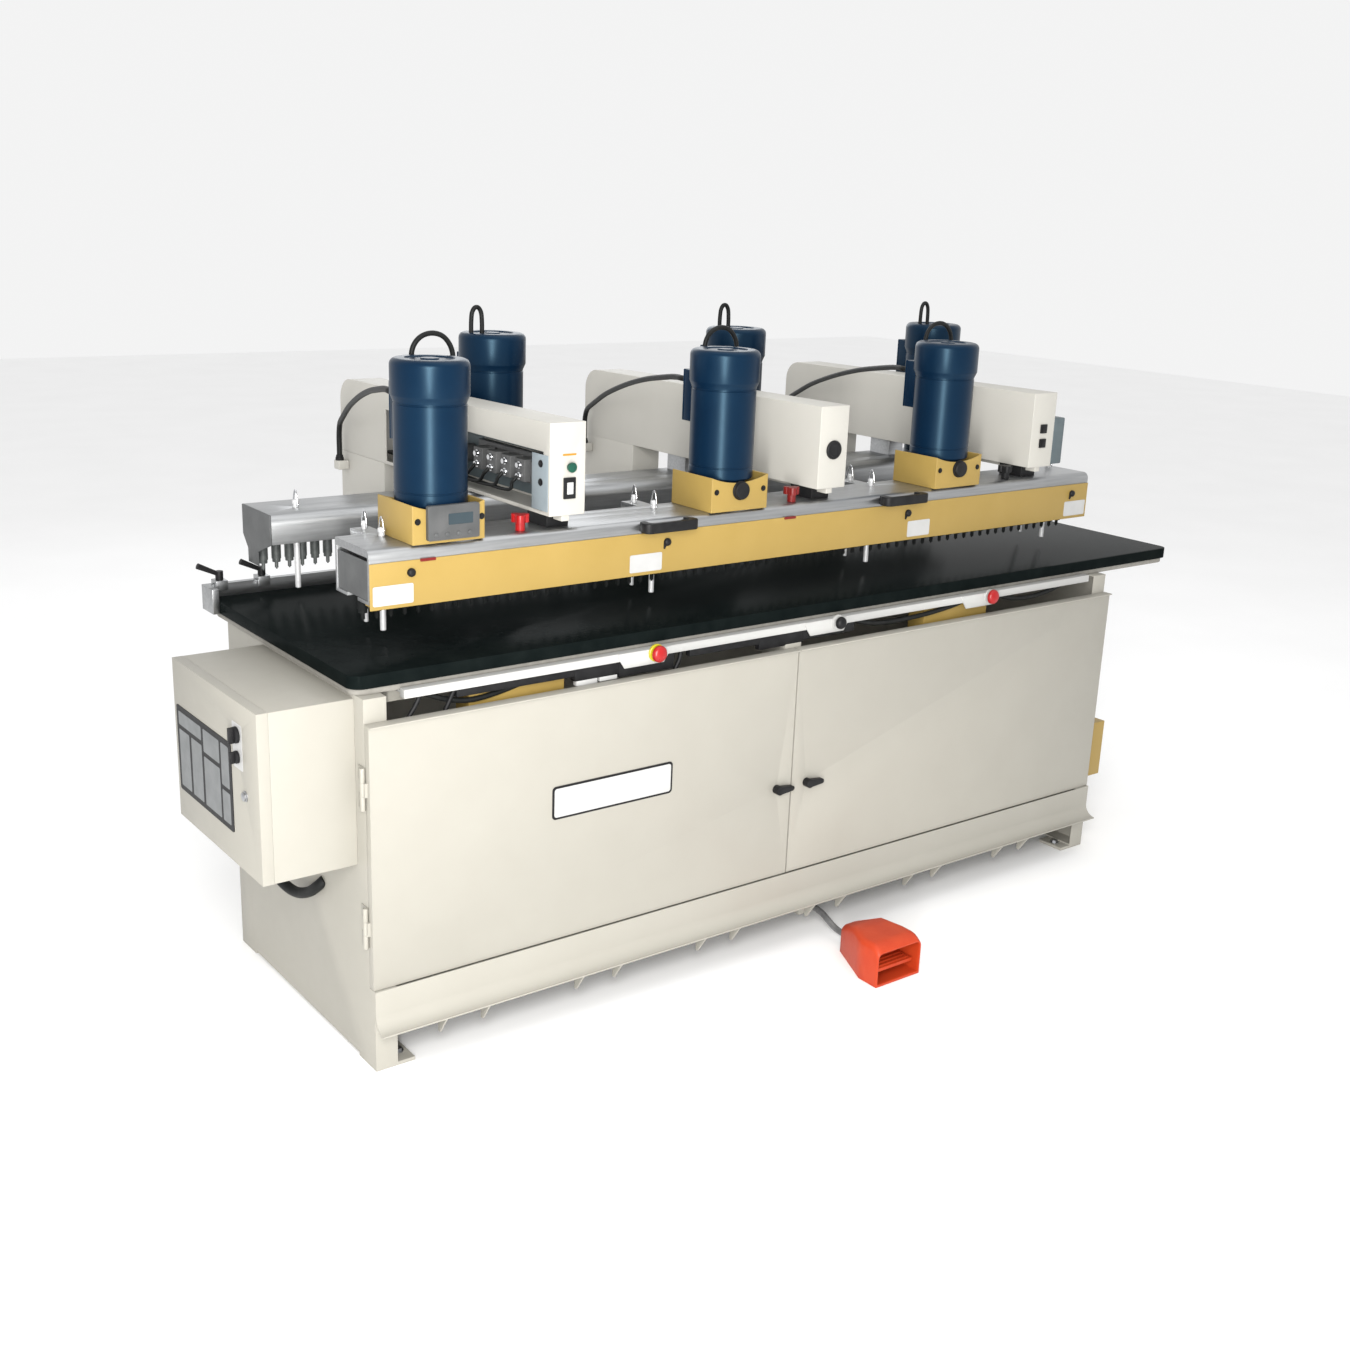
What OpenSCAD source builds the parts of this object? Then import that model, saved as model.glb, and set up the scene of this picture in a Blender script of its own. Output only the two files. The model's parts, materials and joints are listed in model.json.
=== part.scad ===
// Double-row line boring machine for shelf-pin holes in cabinet panels.
// Origin on the floor, in the middle of the four anchor holes.
// +X runs to the operator's right along the spindle rows, +Y to the back, +Z up.

/* [Cabinet] */
// Width over the two end panels
cabinet_w = 2268; // [2000:1:2600]
// Depth of the end panels
cabinet_d = 717; // [640:1:800]
// Width of the folded end panels
end_w = 50; // [40:1:65]
// Thickness of the panel sheet
sheet_t = 3; // [2:0.5:4]
// Thickness of the foot plates
foot_t = 8; // [6:1:14]
// Reach of a foot plate along X
foot_w = 90; // [75:1:120]
// Length of a foot plate along Y
foot_l = 80; // [60:1:110]
// Radius of an anchor hole
anchor_r = 7; // [5:0.5:9]
// Width of the square frame tubes
frame_tube = 40; // [30:1:50]
// Height of the lower frame tube above the floor
frame_low_z = 130; // [120:1:150]
// Width of the post between the doors
post_w = 50; // [40:1:70]
// How far the post stands behind the door backs
post_gap = 2; // [1:0.5:6]
// Setback of the upper frame tube from the cabinet front
frame_top_set = 100; // [80:1:130]

/* [Sill] */
// Height of the sill's lower edge
sill_low_z = 94; // [80:1:110]
// Height of the sill's upper edge
sill_top_z = 184; // [150:1:200]
// How far the lower edge flares out
sill_flare = 36; // [20:1:50]
// Depth of a gusset below the lower edge
gusset_h = 42; // [20:1:55]
// Thickness of a gusset
gusset_t = 4; // [3:0.5:6]
// Distance between the two gussets of a pair
gusset_gap = 104; // [60:1:140]
// Distance from one gusset pair to the next
gusset_pitch = 346; // [300:1:360]
// Number of gusset pairs
gusset_pairs = 6; // [4:1:6]
// Centre of the middle gusset space
gusset_mid = -70; // [-100:1:100]

/* [Doors] */
// Distance of the doors' upper edge below the table's upper face
door_drop = 92; // [85:1:150]
// Gap below a door
door_low_gap = 1.5; // [1:0.5:4]
// Depth of a door
door_t = 20; // [15:1:26]
// Gap between a door's back and the end panel
door_back_gap = 1.5; // [1:0.5:4]
// Gap between the two doors
door_split = 4; // [3:0.5:8]
// Where the doors meet
door_split_x = -20; // [-60:1:60]
// How far the door fronts stand behind the cabinet front
door_set = 3; // [2:0.5:6]
// Reach of the folded lip along a door's upper edge
door_lip = 8; // [5:0.5:12]
// Radius of a hinge pin
pin_r = 3; // [2:0.5:4]
// Wall of a hinge knuckle around its pin
knuckle_wall = 2.5; // [2:0.5:4]
// Length of one hinge knuckle
knuckle_l = 30; // [20:1:40]
// Height of the door handles
handle_z = 415; // [350:1:500]
// Distance from the split to a left handle's pivot
handle_in_left = 46; // [40:1:70]
// Distance from the split to a right handle's pivot
handle_in_right = 46; // [40:1:70]
// Length of a handle lever
handle_l = 44; // [35:1:60]
// Radius of a handle's boss
handle_r = 11; // [9:0.5:14]

/* [Table] */
// Height of the table's upper face
table_h = 850; // [830:1:900]
// Thickness of the table top
table_t = 28; // [20:1:36]
// Thickness of the core under the top
core_t = 14; // [10:1:18]
// Reach of the table past the left end panel
table_left = 14; // [5:1:30]
// Reach of the table past the right end panel
table_right = 304; // [200:1:360]
// Setback of the table's front edge
table_set = 43; // [35:1:60]
// Depth of the table
table_d = 746; // [735:1:770]
// Corner radius of the table
table_r = 30; // [10:1:60]
// Setback of the core from the table's edge
core_set = 6; // [4:0.5:12]

/* [Fence] */
// Distance from the rear spindle row to the fence
fence_gap = 37; // [30:1:40]
// Thickness of the fence rail
fence_t = 16; // [12:1:20]
// Height of the fence rail
fence_h = 30; // [24:1:40]
// Depth of the fence's seat in the table
fence_seat = 2; // [1:0.5:5]
// Distance of the rail's right end from the table's right end
fence_short = 240; // [100:1:400]
// Position of the left stop from the rail's left end
stop_left_x = 24; // [20:1:40]
// Position of the right stop from the rail's left end
stop_right_x = 126; // [110:1:200]
// Width of a stop
stop_w = 28; // [24:1:36]
// Wall of a stop around the rail
stop_wall = 8; // [6:0.5:12]
// Length of a clamp lever
lever_l = 56; // [45:1:58]
// Radius of a clamp lever's hub
lever_r = 9; // [7:0.5:12]

/* [Controls] */
// Length of the front control rail
rail_l = 2104; // [1900:1:2200]
// Middle of the front control rail
rail_mid_x = 7; // [-20:1:40]
// Height of the control rail
rail_h = 18; // [14:1:22]
// Depth of the control rail
rail_d = 20; // [16:1:24]
// Thickness of the rail's hangers
hanger_t = 4; // [3:0.5:6]
// Width of a hanger
hanger_w = 40; // [30:1:60]
// Width of a switch panel
switch_w = 140; // [120:1:180]
// Height of a switch panel
switch_h = 50; // [40:1:54]
// Distance from a panel's right end to its button
switch_in = 40; // [30:1:50]
// Position of the left stop button
estop_left_x = -430; // [-460:1:-380]
// Position of the right stop button
estop_right_x = 650; // [620:1:700]
// Position of the start button
start_x = 112; // [90:1:160]
// Radius of a stop button's head
estop_r = 19; // [16:0.5:22]
// Radius of a button's stem
stem_r = 8; // [6:0.5:10]
// Travel of a push button
button_travel = 5; // [3:0.5:7]
// Width of a yellow cylinder cover
cover_w = 233; // [180:1:280]
// Depth of a yellow cylinder cover
cover_d = 56; // [40:1:58]
// Height of a yellow cylinder cover
cover_h = 84; // [60:1:100]
// Middle of the left and right cylinder covers
cover_x = [-771, 555];

/* [Enclosure] */
// Reach of the enclosure past the end panel
box_out = 202; // [160:1:240]
// Width of the enclosure along Y
box_w = 449; // [380:1:520]
// Height of the enclosure
box_h = 355; // [300:1:360]
// Distance of the enclosure's top below the table's upper face
box_under = 50; // [47:1:95]
// Distance of the enclosure from the cabinet front
box_set = 65; // [40:1:90]
// Depth of the enclosure's door
box_door_t = 24; // [18:1:30]
// Radius of the main switch
main_switch_r = 17; // [12:0.5:20]
// Radius of the selector switch
selector_r = 13; // [10:0.5:16]
// Distance of the switches from the door's free edge
box_switch_in = 100; // [80:1:120]
// Height of the main switch above the enclosure's floor
main_switch_z = 286; // [260:1:300]
// Height of the selector above the enclosure's floor
selector_z = 240; // [200:1:245]

/* [Side box] */
// Width of the yellow box on the right end
side_box_w = 128; // [90:1:150]
// Depth of the yellow box on the right end
side_box_d = 150; // [100:1:200]
// Height of the yellow box on the right end
side_box_h = 165; // [140:1:200]
// Height of the yellow box above the floor
side_box_z = 178; // [150:1:260]
// Distance of the yellow box from the cabinet front
side_box_set = 62; // [40:1:120]

/* [Pedal] */
// Width of the pedal guard at its front
pedal_w = 143; // [130:1:170]
// Width of the pedal guard at its back
pedal_back_w = 62; // [56:1:80]
// How far the pedal's back sits to the right of its front
pedal_skew = 18; // [0:1:25]
// Length of the guard's wide front part
pedal_hood_l = 60; // [40:1:80]
// Length of the pedal guard
pedal_l = 189; // [170:1:210]
// Height of the pedal guard at its front
pedal_h = 104; // [95:1:120]
// Height of the pedal guard at its back
pedal_back_h = 70; // [60:1:80]
// Wall of the pedal guard
pedal_wall = 4; // [3:0.5:6]
// Left end of the pedal guard
pedal_x = 5; // [0:1:60]
// Front end of the pedal guard
pedal_y = -669; // [-720:1:-640]
// Thickness of the treadle
treadle_t = 8; // [6:1:10]
// Radius of the pedal conduit
conduit_r = 8; // [7:0.5:9]

/* [Arms] */
// Width of an arm
arm_w = 91; // [80:1:110]
// Height of an arm
arm_h = 200; // [170:1:220]
// Height of the arms' lower face above the table
arm_clear = 254; // [254:1:280]
// Front end of the arms
arm_front_y = -213; // [-240:1:-190]
// Back end of the arms and columns
arm_back_y = 804; // [780:1:860]
// Sheet thickness of an arm
arm_t = 4; // [3:0.5:6]
// Radius of an arm's rear upper corner
arm_round = 55; // [20:1:120]
// Fall of an arm's upper edge toward the back
arm_fall = 11; // [0:1:20]
// Middle of the left arm
arm_mid_x = -588; // [-600:1:-580]
// Distance from one arm to the next
arm_pitch = 768; // [760:1:776]
// Height of the left arm's closed upper part
arm_hood = 64; // [40:1:70]
// Length of the left arm's closed front part
arm_nose = 26; // [20:1:40]
// Depth of a column along Y
column_d = 246; // [200:1:260]
// Height of the columns' lower end
column_z = 262; // [250:1:300]
// Thickness of a column's guide plate
guide_t = 40; // [30:1:60]
// Radius of a guide post
post_r = 20; // [16:0.5:26]
// Height of the guide posts' upper ends
post_top_z = 700; // [600:1:760]
// Height of the skids and the rear cross beam
skid_h = 70; // [60:1:80]
// Width of a skid
skid_w = 120; // [100:1:140]
// Height of the tie beam
tie_z = 400; // [380:1:440]
// Width of the tie beam
tie_w = 44; // [36:1:60]
// Outer radius of a lift cylinder
lift_r = 36; // [30:1:40]
// Radius of a lift rod
lift_rod_r = 12; // [10:0.5:16]

/* [Heads] */
// Spindles in one row
spindle_n = 69; // [67:1:69]
// Spindle pitch
spindle_pitch = 32; // [31:0.1:32]
// Distance from the last spindle to the beam's end
beam_margin = 22; // [20:1:30]
// Middle of the spindle rows
head_x = 53; // [40:1:60]
// Front spindle row
front_row_y = -136; // [-140:1:-130]
// Rear spindle row
rear_row_y = 378; // [372:1:380]
// Height of the front beam's upper face above the table
front_rise = 223; // [218:1:224]
// Height of the front beam's lower face above the table
front_clear = 110; // [105:1:120]
// Height of the rear beam's upper face above the table
rear_rise = 209; // [200:1:215]
// Height of the rear beam's lower face above the table
rear_clear = 141; // [135:1:150]
// Depth of the front beam before and behind its row
front_half = 77; // [77:1:80]
// Reach of the rear beam before its row
rear_reach = 109; // [95:1:115]
// Reach of the rear beam behind its row
rear_back = 50; // [40:1:60]
// Wall of the beams
beam_wall = 7; // [5:0.5:9]
// Width of a gear case
case_w = 44; // [36:1:50]
// Height of the gear cases' lower faces above the table
case_clear = 125; // [124:1:130]
// Radius of the front beam's rounded shoulder
front_shoulder_r = 16; // [10:1:20]
// Radius of the rear beam's rounded shoulder
rear_shoulder_r = 28; // [16:1:34]
// Height of the yellow cover's upper edge above the table
cover_rise = 197; // [190:1:200]
// Thickness of the yellow cover
cover_t = 3; // [2:0.5:4]
// Radius of a chuck
chuck_r = 11; // [9:0.5:13]
// Length of a chuck
chuck_l = 50; // [40:1:52]
// Radius of a boring bit
bit_r = 4; // [2.5:0.5:6]
// Height of the bit tips above the table
tip_gap = 60; // [58:1:64]
// Thickness of the rear beam's end plates
end_plate_t = 4; // [3:0.5:6]

/* [Hold-downs] */
// Number of hold-down stations
station_n = 4; // [3:1:4]
// Distance from one station to the next
station_pitch = 700; // [690:1:702]
// Middle of the hold-down stations
station_mid = 81; // [79:1:82]
// Distance from a spindle row to its hold-down rods
rod_off = 41; // [38:1:44]
// Distance from a front rod to the guide rod behind it
rod_pair = 80; // [70:1:90]
// Radius of a hold-down rod
rod_r = 6.5; // [5:0.5:8]
// Radius of a guide rod
guide_rod_r = 5; // [4:0.5:6]
// Height of the rod feet above the table
rod_gap = 20; // [19:1:26]
// Running clearance of rods, pins and slides
run_gap = 0.3; // [0.2:0.05:0.5]
// Height of a rod's cap above the beam
cap_h = 40; // [30:1:50]
// Radius of a rod's cap
cap_r = 8; // [7.5:0.5:8.5]
// Width of a lug that carries a guide rod
lug_w = 44; // [36:1:50]
// Thickness of a lug
lug_t = 16; // [12:1:20]

/* [Motors] */
// Radius of a motor
motor_r = 76; // [70:0.5:77]
// Radius of a motor's fan cowl
cowl_r = 82; // [78:0.5:84]
// Radius of the flange under a motor
flange_r = 60; // [50:0.5:64]
// Height of the motors above the front beam
motor_h = 366; // [330:1:390]
// Height of the fan cowl
cowl_h = 84; // [60:1:100]
// Radius of the cowl's rounded edge
cowl_edge = 12; // [6:1:16]
// Spindles that the front motors stand over
front_motor_i = [5, 29, 52];
// Spindles that the rear motors stand over
rear_motor_i = [19, 43, 67];
// Reach of a junction box from the motor's skin
jbox_out = 30; // [20:1:34]
// Width of a junction box
jbox_w = 80; // [50:1:90]
// Height of a junction box
jbox_h = 120; // [70:1:130]
// Distance of a junction box below the motor's top
jbox_drop = 55; // [30:1:60]
// Width of a front motor box
mbox_w = 168; // [164:1:170]
// Height of a motor box
mbox_h = 82; // [60:1:95]
// Wall of a motor box
mbox_t = 4; // [3:0.5:4]
// How far a motor box's edge dips before the motor
mbox_dip = 16; // [8:1:22]
// Radius of a lead loop on a front motor
loop_r = 40; // [30:1:46]
// Radius of a lead loop on a rear motor
rear_loop_r = 15; // [12:1:20]
// Distance of a rear lead loop from its motor's axis
rear_loop_out = 44; // [0:1:46]
// Straight length of a lead loop on a front motor
loop_leg = 8; // [4:1:20]
// Straight length of a lead loop on a rear motor
rear_loop_leg = 46; // [30:1:60]
// Radius of a motor lead
lead_r = 6; // [4:0.5:7]

/* [Front head] */
// Travel of the front head along the arms
row_travel = 200; // [100:1:205]
// Width of a slide block
block_w = 56; // [46:1:64]
// Length of a slide block
block_l = 80; // [60:1:90]
// Width of an arm's slide rail
slide_w = 20; // [16:1:24]
// Height of an arm's slide rail
slide_h = 14; // [10:1:18]
// Gap between a slide block and the arm
block_gap = 3; // [2:0.5:5]
// Length of a bow handle
bow_l = 150; // [120:1:170]
// Reach of a bow handle
bow_reach = 40; // [34:1:48]
// Thickness of a bow handle
bow_t = 23; // [12:1:24]
// Middle of the left and right bow handles
bow_x = [-326, 416];
// Width of the readout
readout_w = 119; // [90:1:130]
// Height of the readout
readout_h = 70; // [50:1:76]
// Depth of the readout
readout_d = 12; // [8:1:18]
// Distance of the readout from its box's left end
readout_in = 30; // [4:1:44]
// Radius of a motor box knob
knob_r = 21; // [16:0.5:24]
// Radius of a lock knob
lock_r = 21; // [16:0.5:24]
// Height of a lock knob
lock_h = 36; // [28:1:44]
// Distance of a lock knob from its arm
lock_out = 52; // [40:1:70]

/* [Hidden] */
$fn = 48;

// Cabinet planes
x_left = -cabinet_w / 2;
x_right = cabinet_w / 2;
y_front = -cabinet_d / 2;
y_back = cabinet_d / 2;
core_z = table_h - table_t - core_t;
end_h = core_z;
rear_sheet_z = 20;
anchor_x = x_right - end_w - (foot_w - end_w) / 2;

// Sill
gusset_foot = 8;

// Doors
door_y = y_front + door_set;
door_low_z = sill_top_z + door_low_gap;
door_top_z = table_h - door_drop;
split_left_x = door_split_x - door_split / 2;
split_right_x = door_split_x + door_split / 2;
knuckle_r = pin_r + knuckle_wall;
end_y = door_y + door_t + door_back_gap;
hinge_y = end_y - door_back_gap / 2;
hinge_left_x = x_left - knuckle_r - run_gap;
hinge_right_x = x_right + knuckle_r + run_gap;
leaf_t = 2;
leaf_l = 26;
hinge_in = 90;
hinge_z = [door_low_z + hinge_in, door_top_z - hinge_in - 3 * knuckle_l];
post_y = door_y + door_t + post_gap;
handle_gap = 0.5;
handle_t = 12;

// Table and fence
table_x0 = x_left - table_left;
table_x1 = x_right + table_right;
table_y0 = y_front + table_set;
table_y1 = table_y0 + table_d;
fence_y = rear_row_y + fence_gap;
fence_x1 = table_x1 - fence_short;
stop_z = table_h + fence_h / 2;
stop_top_z = table_h + fence_h + stop_wall;
lever_y = fence_y + fence_t / 2;
lever_rise = 26;
lever_hub_h = 20;
lever_root_h = 12;
lever_root_r = 5;
lever_tip_r = 7;
lever_lid = 2;
fence_block = table_r + 20;

// Control rail
rail_lift = 6;
rail_top_z = core_z + rail_lift;
rail_y = table_y0 - rail_d;
rail_mid_z = rail_top_z - rail_h / 2;
switch_t = 3;
switch_y = rail_y - switch_t;
collar_t = 5;
button_y = switch_y - collar_t;
button_x = [estop_left_x, estop_right_x, start_x];
head_t = 16;
hanger_y1 = y_front + frame_top_set - 2;

// Enclosure
box_x0 = x_left - box_out + box_door_t;
box_y0 = y_front + box_set;
box_y1 = box_y0 + box_w;
box_z = table_h - box_under - box_h;
box_door_gap = 0.4;
box_hinge_y = box_y1 + knuckle_r + 1;
box_hinge_in = 50;
box_hinge_z = [box_z + box_hinge_in, box_z + box_h - box_hinge_in - 3 * knuckle_l];
box_face_x = x_left - box_out;
switch_gap = 0.5;
switch_out = 18;

// Pedal
pedal_x1 = pedal_x + pedal_w;
pedal_y1 = pedal_y + pedal_l;
pedal_floor = 6;
pedal_slope = 70;
pedal_brow = 30;
mouth_low_z = pedal_floor;
mouth_top_z = pedal_h - 22;
treadle_y1 = pedal_y1 - 34;
treadle_z = 34;
treadle_pin_r = 4;
gland_l = 14;
hood_y = pedal_y + pedal_hood_l;
pedal_mid_x = pedal_x + pedal_w / 2 + pedal_skew;
pedal_back_x = pedal_mid_x - pedal_back_w / 2;
// Share of the taper at the treadle's pin, and the pin's ends inside the walls
pin_share = (treadle_y1 - hood_y) / (pedal_y1 - hood_y);
pin_x0 = pedal_x + pin_share * (pedal_back_x - pedal_x) + pedal_wall / 2;
pin_x1 = pedal_x1 - pin_share * (pedal_x1 - pedal_back_x - pedal_back_w) - pedal_wall / 2;
// Route of the conduit, from the gland under the frame to the pedal's back
conduit_box_w = 54;
conduit_box_h = 104;
conduit_x = 102;
conduit_z = frame_low_z - conduit_box_h + 26;
conduit_box_y = post_y + 24;
conduit_z1 = 30;
conduit_y0 = conduit_box_y - gland_l - run_gap;
conduit_y1 = pedal_y1 + gland_l + run_gap;
// Share of the way down and across, at even steps along
conduit_bend = [0, 0.02, 0.18, 0.5, 0.82, 0.98, 1];
conduit_route = [
  for (i = [0 : 6])
    [conduit_x + conduit_bend[i] * (pedal_mid_x - conduit_x),
     conduit_y0 + i / 6 * (conduit_y1 - conduit_y0),
     conduit_z + conduit_bend[i] * (conduit_z1 - conduit_z)]
];

// Arms, columns and lift
arm_x = [for (i = [0 : 2]) arm_mid_x + i * arm_pitch];
arm_button_x = arm_x[0] + 7;
arm_z = table_h + arm_clear;
arm_top_z = arm_z + arm_h;
column_y0 = arm_back_y - column_d;
column_mid_y = arm_back_y - column_d / 2;
tie_y = arm_back_y + tie_w / 2;
lift_x = [for (i = [0 : 1]) arm_mid_x + (i + 0.5) * arm_pitch];
lift_top_z = 330;
lift_floor = 10;
lift_wall = 5;
piston_z = lift_top_z - 150;
piston_t = 20;
tie_h = 60;
skid_y0 = y_back;
skid_y1 = tie_y + lift_r + 8;

// Fittings on the arms' front ends
plug_r = 23;
rocker_w = 24;
rocker_t = 7;
rocker_z = arm_top_z - 108;
rocker_pitch = 39;
button_z = arm_top_z - 96;
plug_z = arm_z + 94;
valve_z = arm_z + 67;
pod_w = 44;
pod_l = 100;
pod_h = 126;
valve_y = arm_front_y + 96;
valve_pitch = 62;
gauge_y = arm_front_y + 470;
bowl_y = arm_front_y + 530;

// Beams and spindles
beam_l = (spindle_n - 1) * spindle_pitch + 2 * beam_margin;
beam_x0 = head_x - beam_l / 2;
spindle_x = [for (i = [0 : spindle_n - 1]) beam_x0 + beam_margin + i * spindle_pitch];
front_y0 = front_row_y - front_half;
front_y1 = front_row_y + front_half;
rear_y0 = rear_row_y - rear_reach;
rear_y1 = rear_row_y + rear_back;
front_top_z = table_h + front_rise;
front_low_z = table_h + front_clear;
rear_top_z = table_h + rear_rise;
rear_low_z = table_h + rear_clear;
case_z = table_h + case_clear;
cover_top_z = table_h + cover_rise;
slot_gap = 2;
tip_z = table_h + tip_gap;
chuck_low_z = case_z - chuck_l;
spindle_rest = 0.4;
cover_low_z = front_low_z - cover_t;
cover_lip = 20;

// Hold-downs
station_x = [for (i = [0 : station_n - 1]) station_mid + (i - (station_n - 1) / 2) * station_pitch];
front_rod_y = front_row_y + rod_off;
guide_rod_y = front_rod_y + rod_pair;
rear_rod_y = rear_row_y - rod_off;
rear_station_x = [station_x[0], station_x[1], station_x[2], arm_x[2] + arm_w / 2 + 28];
rod_low_z = table_h + rod_gap;
lug_y1 = guide_rod_y + lug_w / 2;

// Motors
front_motor_x = [for (i = front_motor_i) spindle_x[i]];
rear_motor_x = [for (i = rear_motor_i) spindle_x[i]];
flange_h = mbox_h - mbox_dip + 4;
motor_top_z = front_top_z + motor_h;
jbox_z = motor_top_z - jbox_drop - jbox_h;

// Slides and lock knobs
slide_y0 = arm_front_y + 6;
slide_y1 = front_row_y + block_l / 2 + row_travel + 20;
slide_z = arm_z - slide_h;
block_top_z = arm_z - block_gap;
lock_y = front_row_y - 44;
lock_x = [for (x = arm_x) x - arm_w / 2 - lock_out];

// Bow handles
bow_gap = 3;
bow_r = 17;
bow_foot = 20;
bow_grip = 13;
bow_side = 22;

// Motor cables, from the back of a junction box to the gland beside a column
cable_r = 7;
gland_r = 11;
cable_in = 14;
cable_start_y = front_row_y + motor_r + jbox_out + run_gap;
cable_start_z = jbox_z + jbox_h - 25;
cable_end_y = arm_back_y - 30;
cable_end_z = arm_z - 8;
cable_out = 20;
cable_bend_r = 8 * cable_r;
elbow_w = 30;
elbow_h = 24;
// Shares of the way along and of the drop between the two straight ends
cable_way = [[0.035, 0.005], [0.09, 0.028], [0.2, 0.095], [0.34, 0.19], [0.5, 0.33], [0.66, 0.5],
             [0.8, 0.675], [0.92, 0.865]];

// A box from its two corners
module block(x0, x1, y0, y1, z0, z1) {
  translate([x0, y0, z0])
    cube([x1 - x0, y1 - y0, z1 - z0]);
}

// An upright cylinder from z0 to z1
module rod_z(r, x, y, z0, z1) {
  translate([x, y, z0])
    cylinder(r = r, h = z1 - z0);
}

// A cylinder along Y from y0 to y1
module rod_y(r, x, z, y0, y1) {
  translate([x, y0, z])
    rotate([-90, 0, 0])
      cylinder(r = r, h = y1 - y0);
}

// A cylinder along X from x0 to x1
module rod_x(r, y, z, x0, x1) {
  translate([x0, y, z])
    rotate([0, 90, 0])
      cylinder(r = r, h = x1 - x0);
}

// An outline in Y and Z, run along X
module along_x(x0, x1) {
  translate([x0, 0, 0])
    rotate([90, 0, 90])
      linear_extrude(x1 - x0)
        children();
}

// A rectangle with round corners
module round_rect(x0, x1, y0, y1, r) {
  translate([x0 + r, y0])
    square([x1 - x0 - 2 * r, y1 - y0]);
  translate([x0, y0 + r])
    square([x1 - x0, y1 - y0 - 2 * r]);
  for (x = [x0 + r, x1 - r], y = [y0 + r, y1 - r])
    translate([x, y])
      circle(r);
}

// Points of a smooth curve through a route, n steps to each stretch
function spline_at(a, b, c, d, t) =
  0.5 * (2 * b + (c - a) * t + (2 * a - 5 * b + 4 * c - d) * t * t + (3 * b - a - 3 * c + d) * t * t * t);
function curve(p, n) = [
  for (i = [0 : len(p) - 2], k = [0 : n - 1])
    spline_at(p[max(i - 1, 0)], p[i], p[i + 1], p[min(i + 2, len(p) - 1)], k / n),
  p[len(p) - 1]
];
function unit(v) = v / norm(v);
function lead_dir(p, i) = unit(p[min(i + 1, len(p) - 1)] - p[max(i - 1, 0)]);
// Each ring's side vector is the last one, turned square to the route
function side_step(v, d) = unit(v - (v * d) * d);
function side_list(p, i, v) =
  i == len(p) ? [] : let (w = side_step(v, lead_dir(p, i))) concat([w], side_list(p, i + 1, w));

// A round tube along a list of points
module tube(p, r, sides, first_side) {
  n = len(p);
  v = side_list(p, 0, first_side);
  points = [
    for (i = [0 : n - 1])
      let (w = cross(lead_dir(p, i), v[i]))
        for (k = [0 : sides - 1])
          p[i] + r * (cos(360 * k / sides) * v[i] + sin(360 * k / sides) * w)
  ];
  walls = [
    for (i = [0 : n - 2], k = [0 : sides - 1])
      let (a = i * sides + k, b = i * sides + (k + 1) % sides)
        each [[a, a + sides, b], [b, a + sides, b + sides]]
  ];
  caps = [[for (k = [0 : sides - 1]) k], [for (k = [0 : sides - 1]) n * sides - 1 - k]];
  polyhedron(points, concat(walls, caps), convexity = 6);
}

// An end panel: a pan folded on five sides, open to the cabinet, on two foot plates
module end_outline(inset) {
  polygon([[y_front + inset, foot_t + inset], [y_back - inset, foot_t + inset],
           [y_back - inset, end_h - inset], [end_y + inset, end_h - inset],
           [end_y + inset, sill_top_z - inset], [y_front + inset, sill_top_z - inset]]);
}
module end_panel() {
  difference() {
    along_x(x_left, x_left + end_w)
      end_outline(0);
    along_x(x_left + sheet_t, x_left + end_w + 1)
      end_outline(sheet_t);
  }
  for (y = [y_front, y_back - foot_l])
    difference() {
      block(x_left, x_left + foot_w, y, y + foot_l, 0, foot_t);
      rod_z(anchor_r, -anchor_x, y + foot_l / 2, -1, foot_t + 1);
    }
}
module left_end_panel() {
  color("ivory")
    end_panel();
}
module right_end_panel() {
  color("ivory")
    mirror([1, 0, 0])
      end_panel();
}

// Back sheet with a flange under the table, standing on the skids
module rear_panel() {
  color("ivory") {
    block(x_left + end_w, x_right - end_w, y_back - sheet_t, y_back, rear_sheet_z, core_z);
    block(x_left + end_w, x_right - end_w, y_back - end_w, y_back - sheet_t, core_z - sheet_t, core_z);
  }
}

// Welded tubes between the end panels, with the door post and the conduit box
module front_frame() {
  top_y = y_front + frame_top_set;
  color("ivory") {
    block(x_left + end_w, x_right - end_w, top_y, top_y + frame_tube, core_z - frame_tube, core_z);
    block(x_left + end_w, x_right - end_w, post_y, post_y + frame_tube,
          frame_low_z, frame_low_z + frame_tube);
    block(door_split_x - post_w / 2, door_split_x + post_w / 2, post_y, post_y + frame_tube,
          frame_low_z + frame_tube, core_z - 2 * frame_tube);
    block(door_split_x - post_w / 2, door_split_x + post_w / 2, post_y, top_y + frame_tube,
          core_z - 2 * frame_tube, core_z - frame_tube);
    block(conduit_x - conduit_box_w / 2, conduit_x + conduit_box_w / 2, conduit_box_y,
          post_y + frame_tube + 20, frame_low_z - conduit_box_h, frame_low_z);
    rod_y(conduit_r + 4, conduit_x, conduit_z, conduit_box_y - gland_l, conduit_box_y);
  }
}

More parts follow.
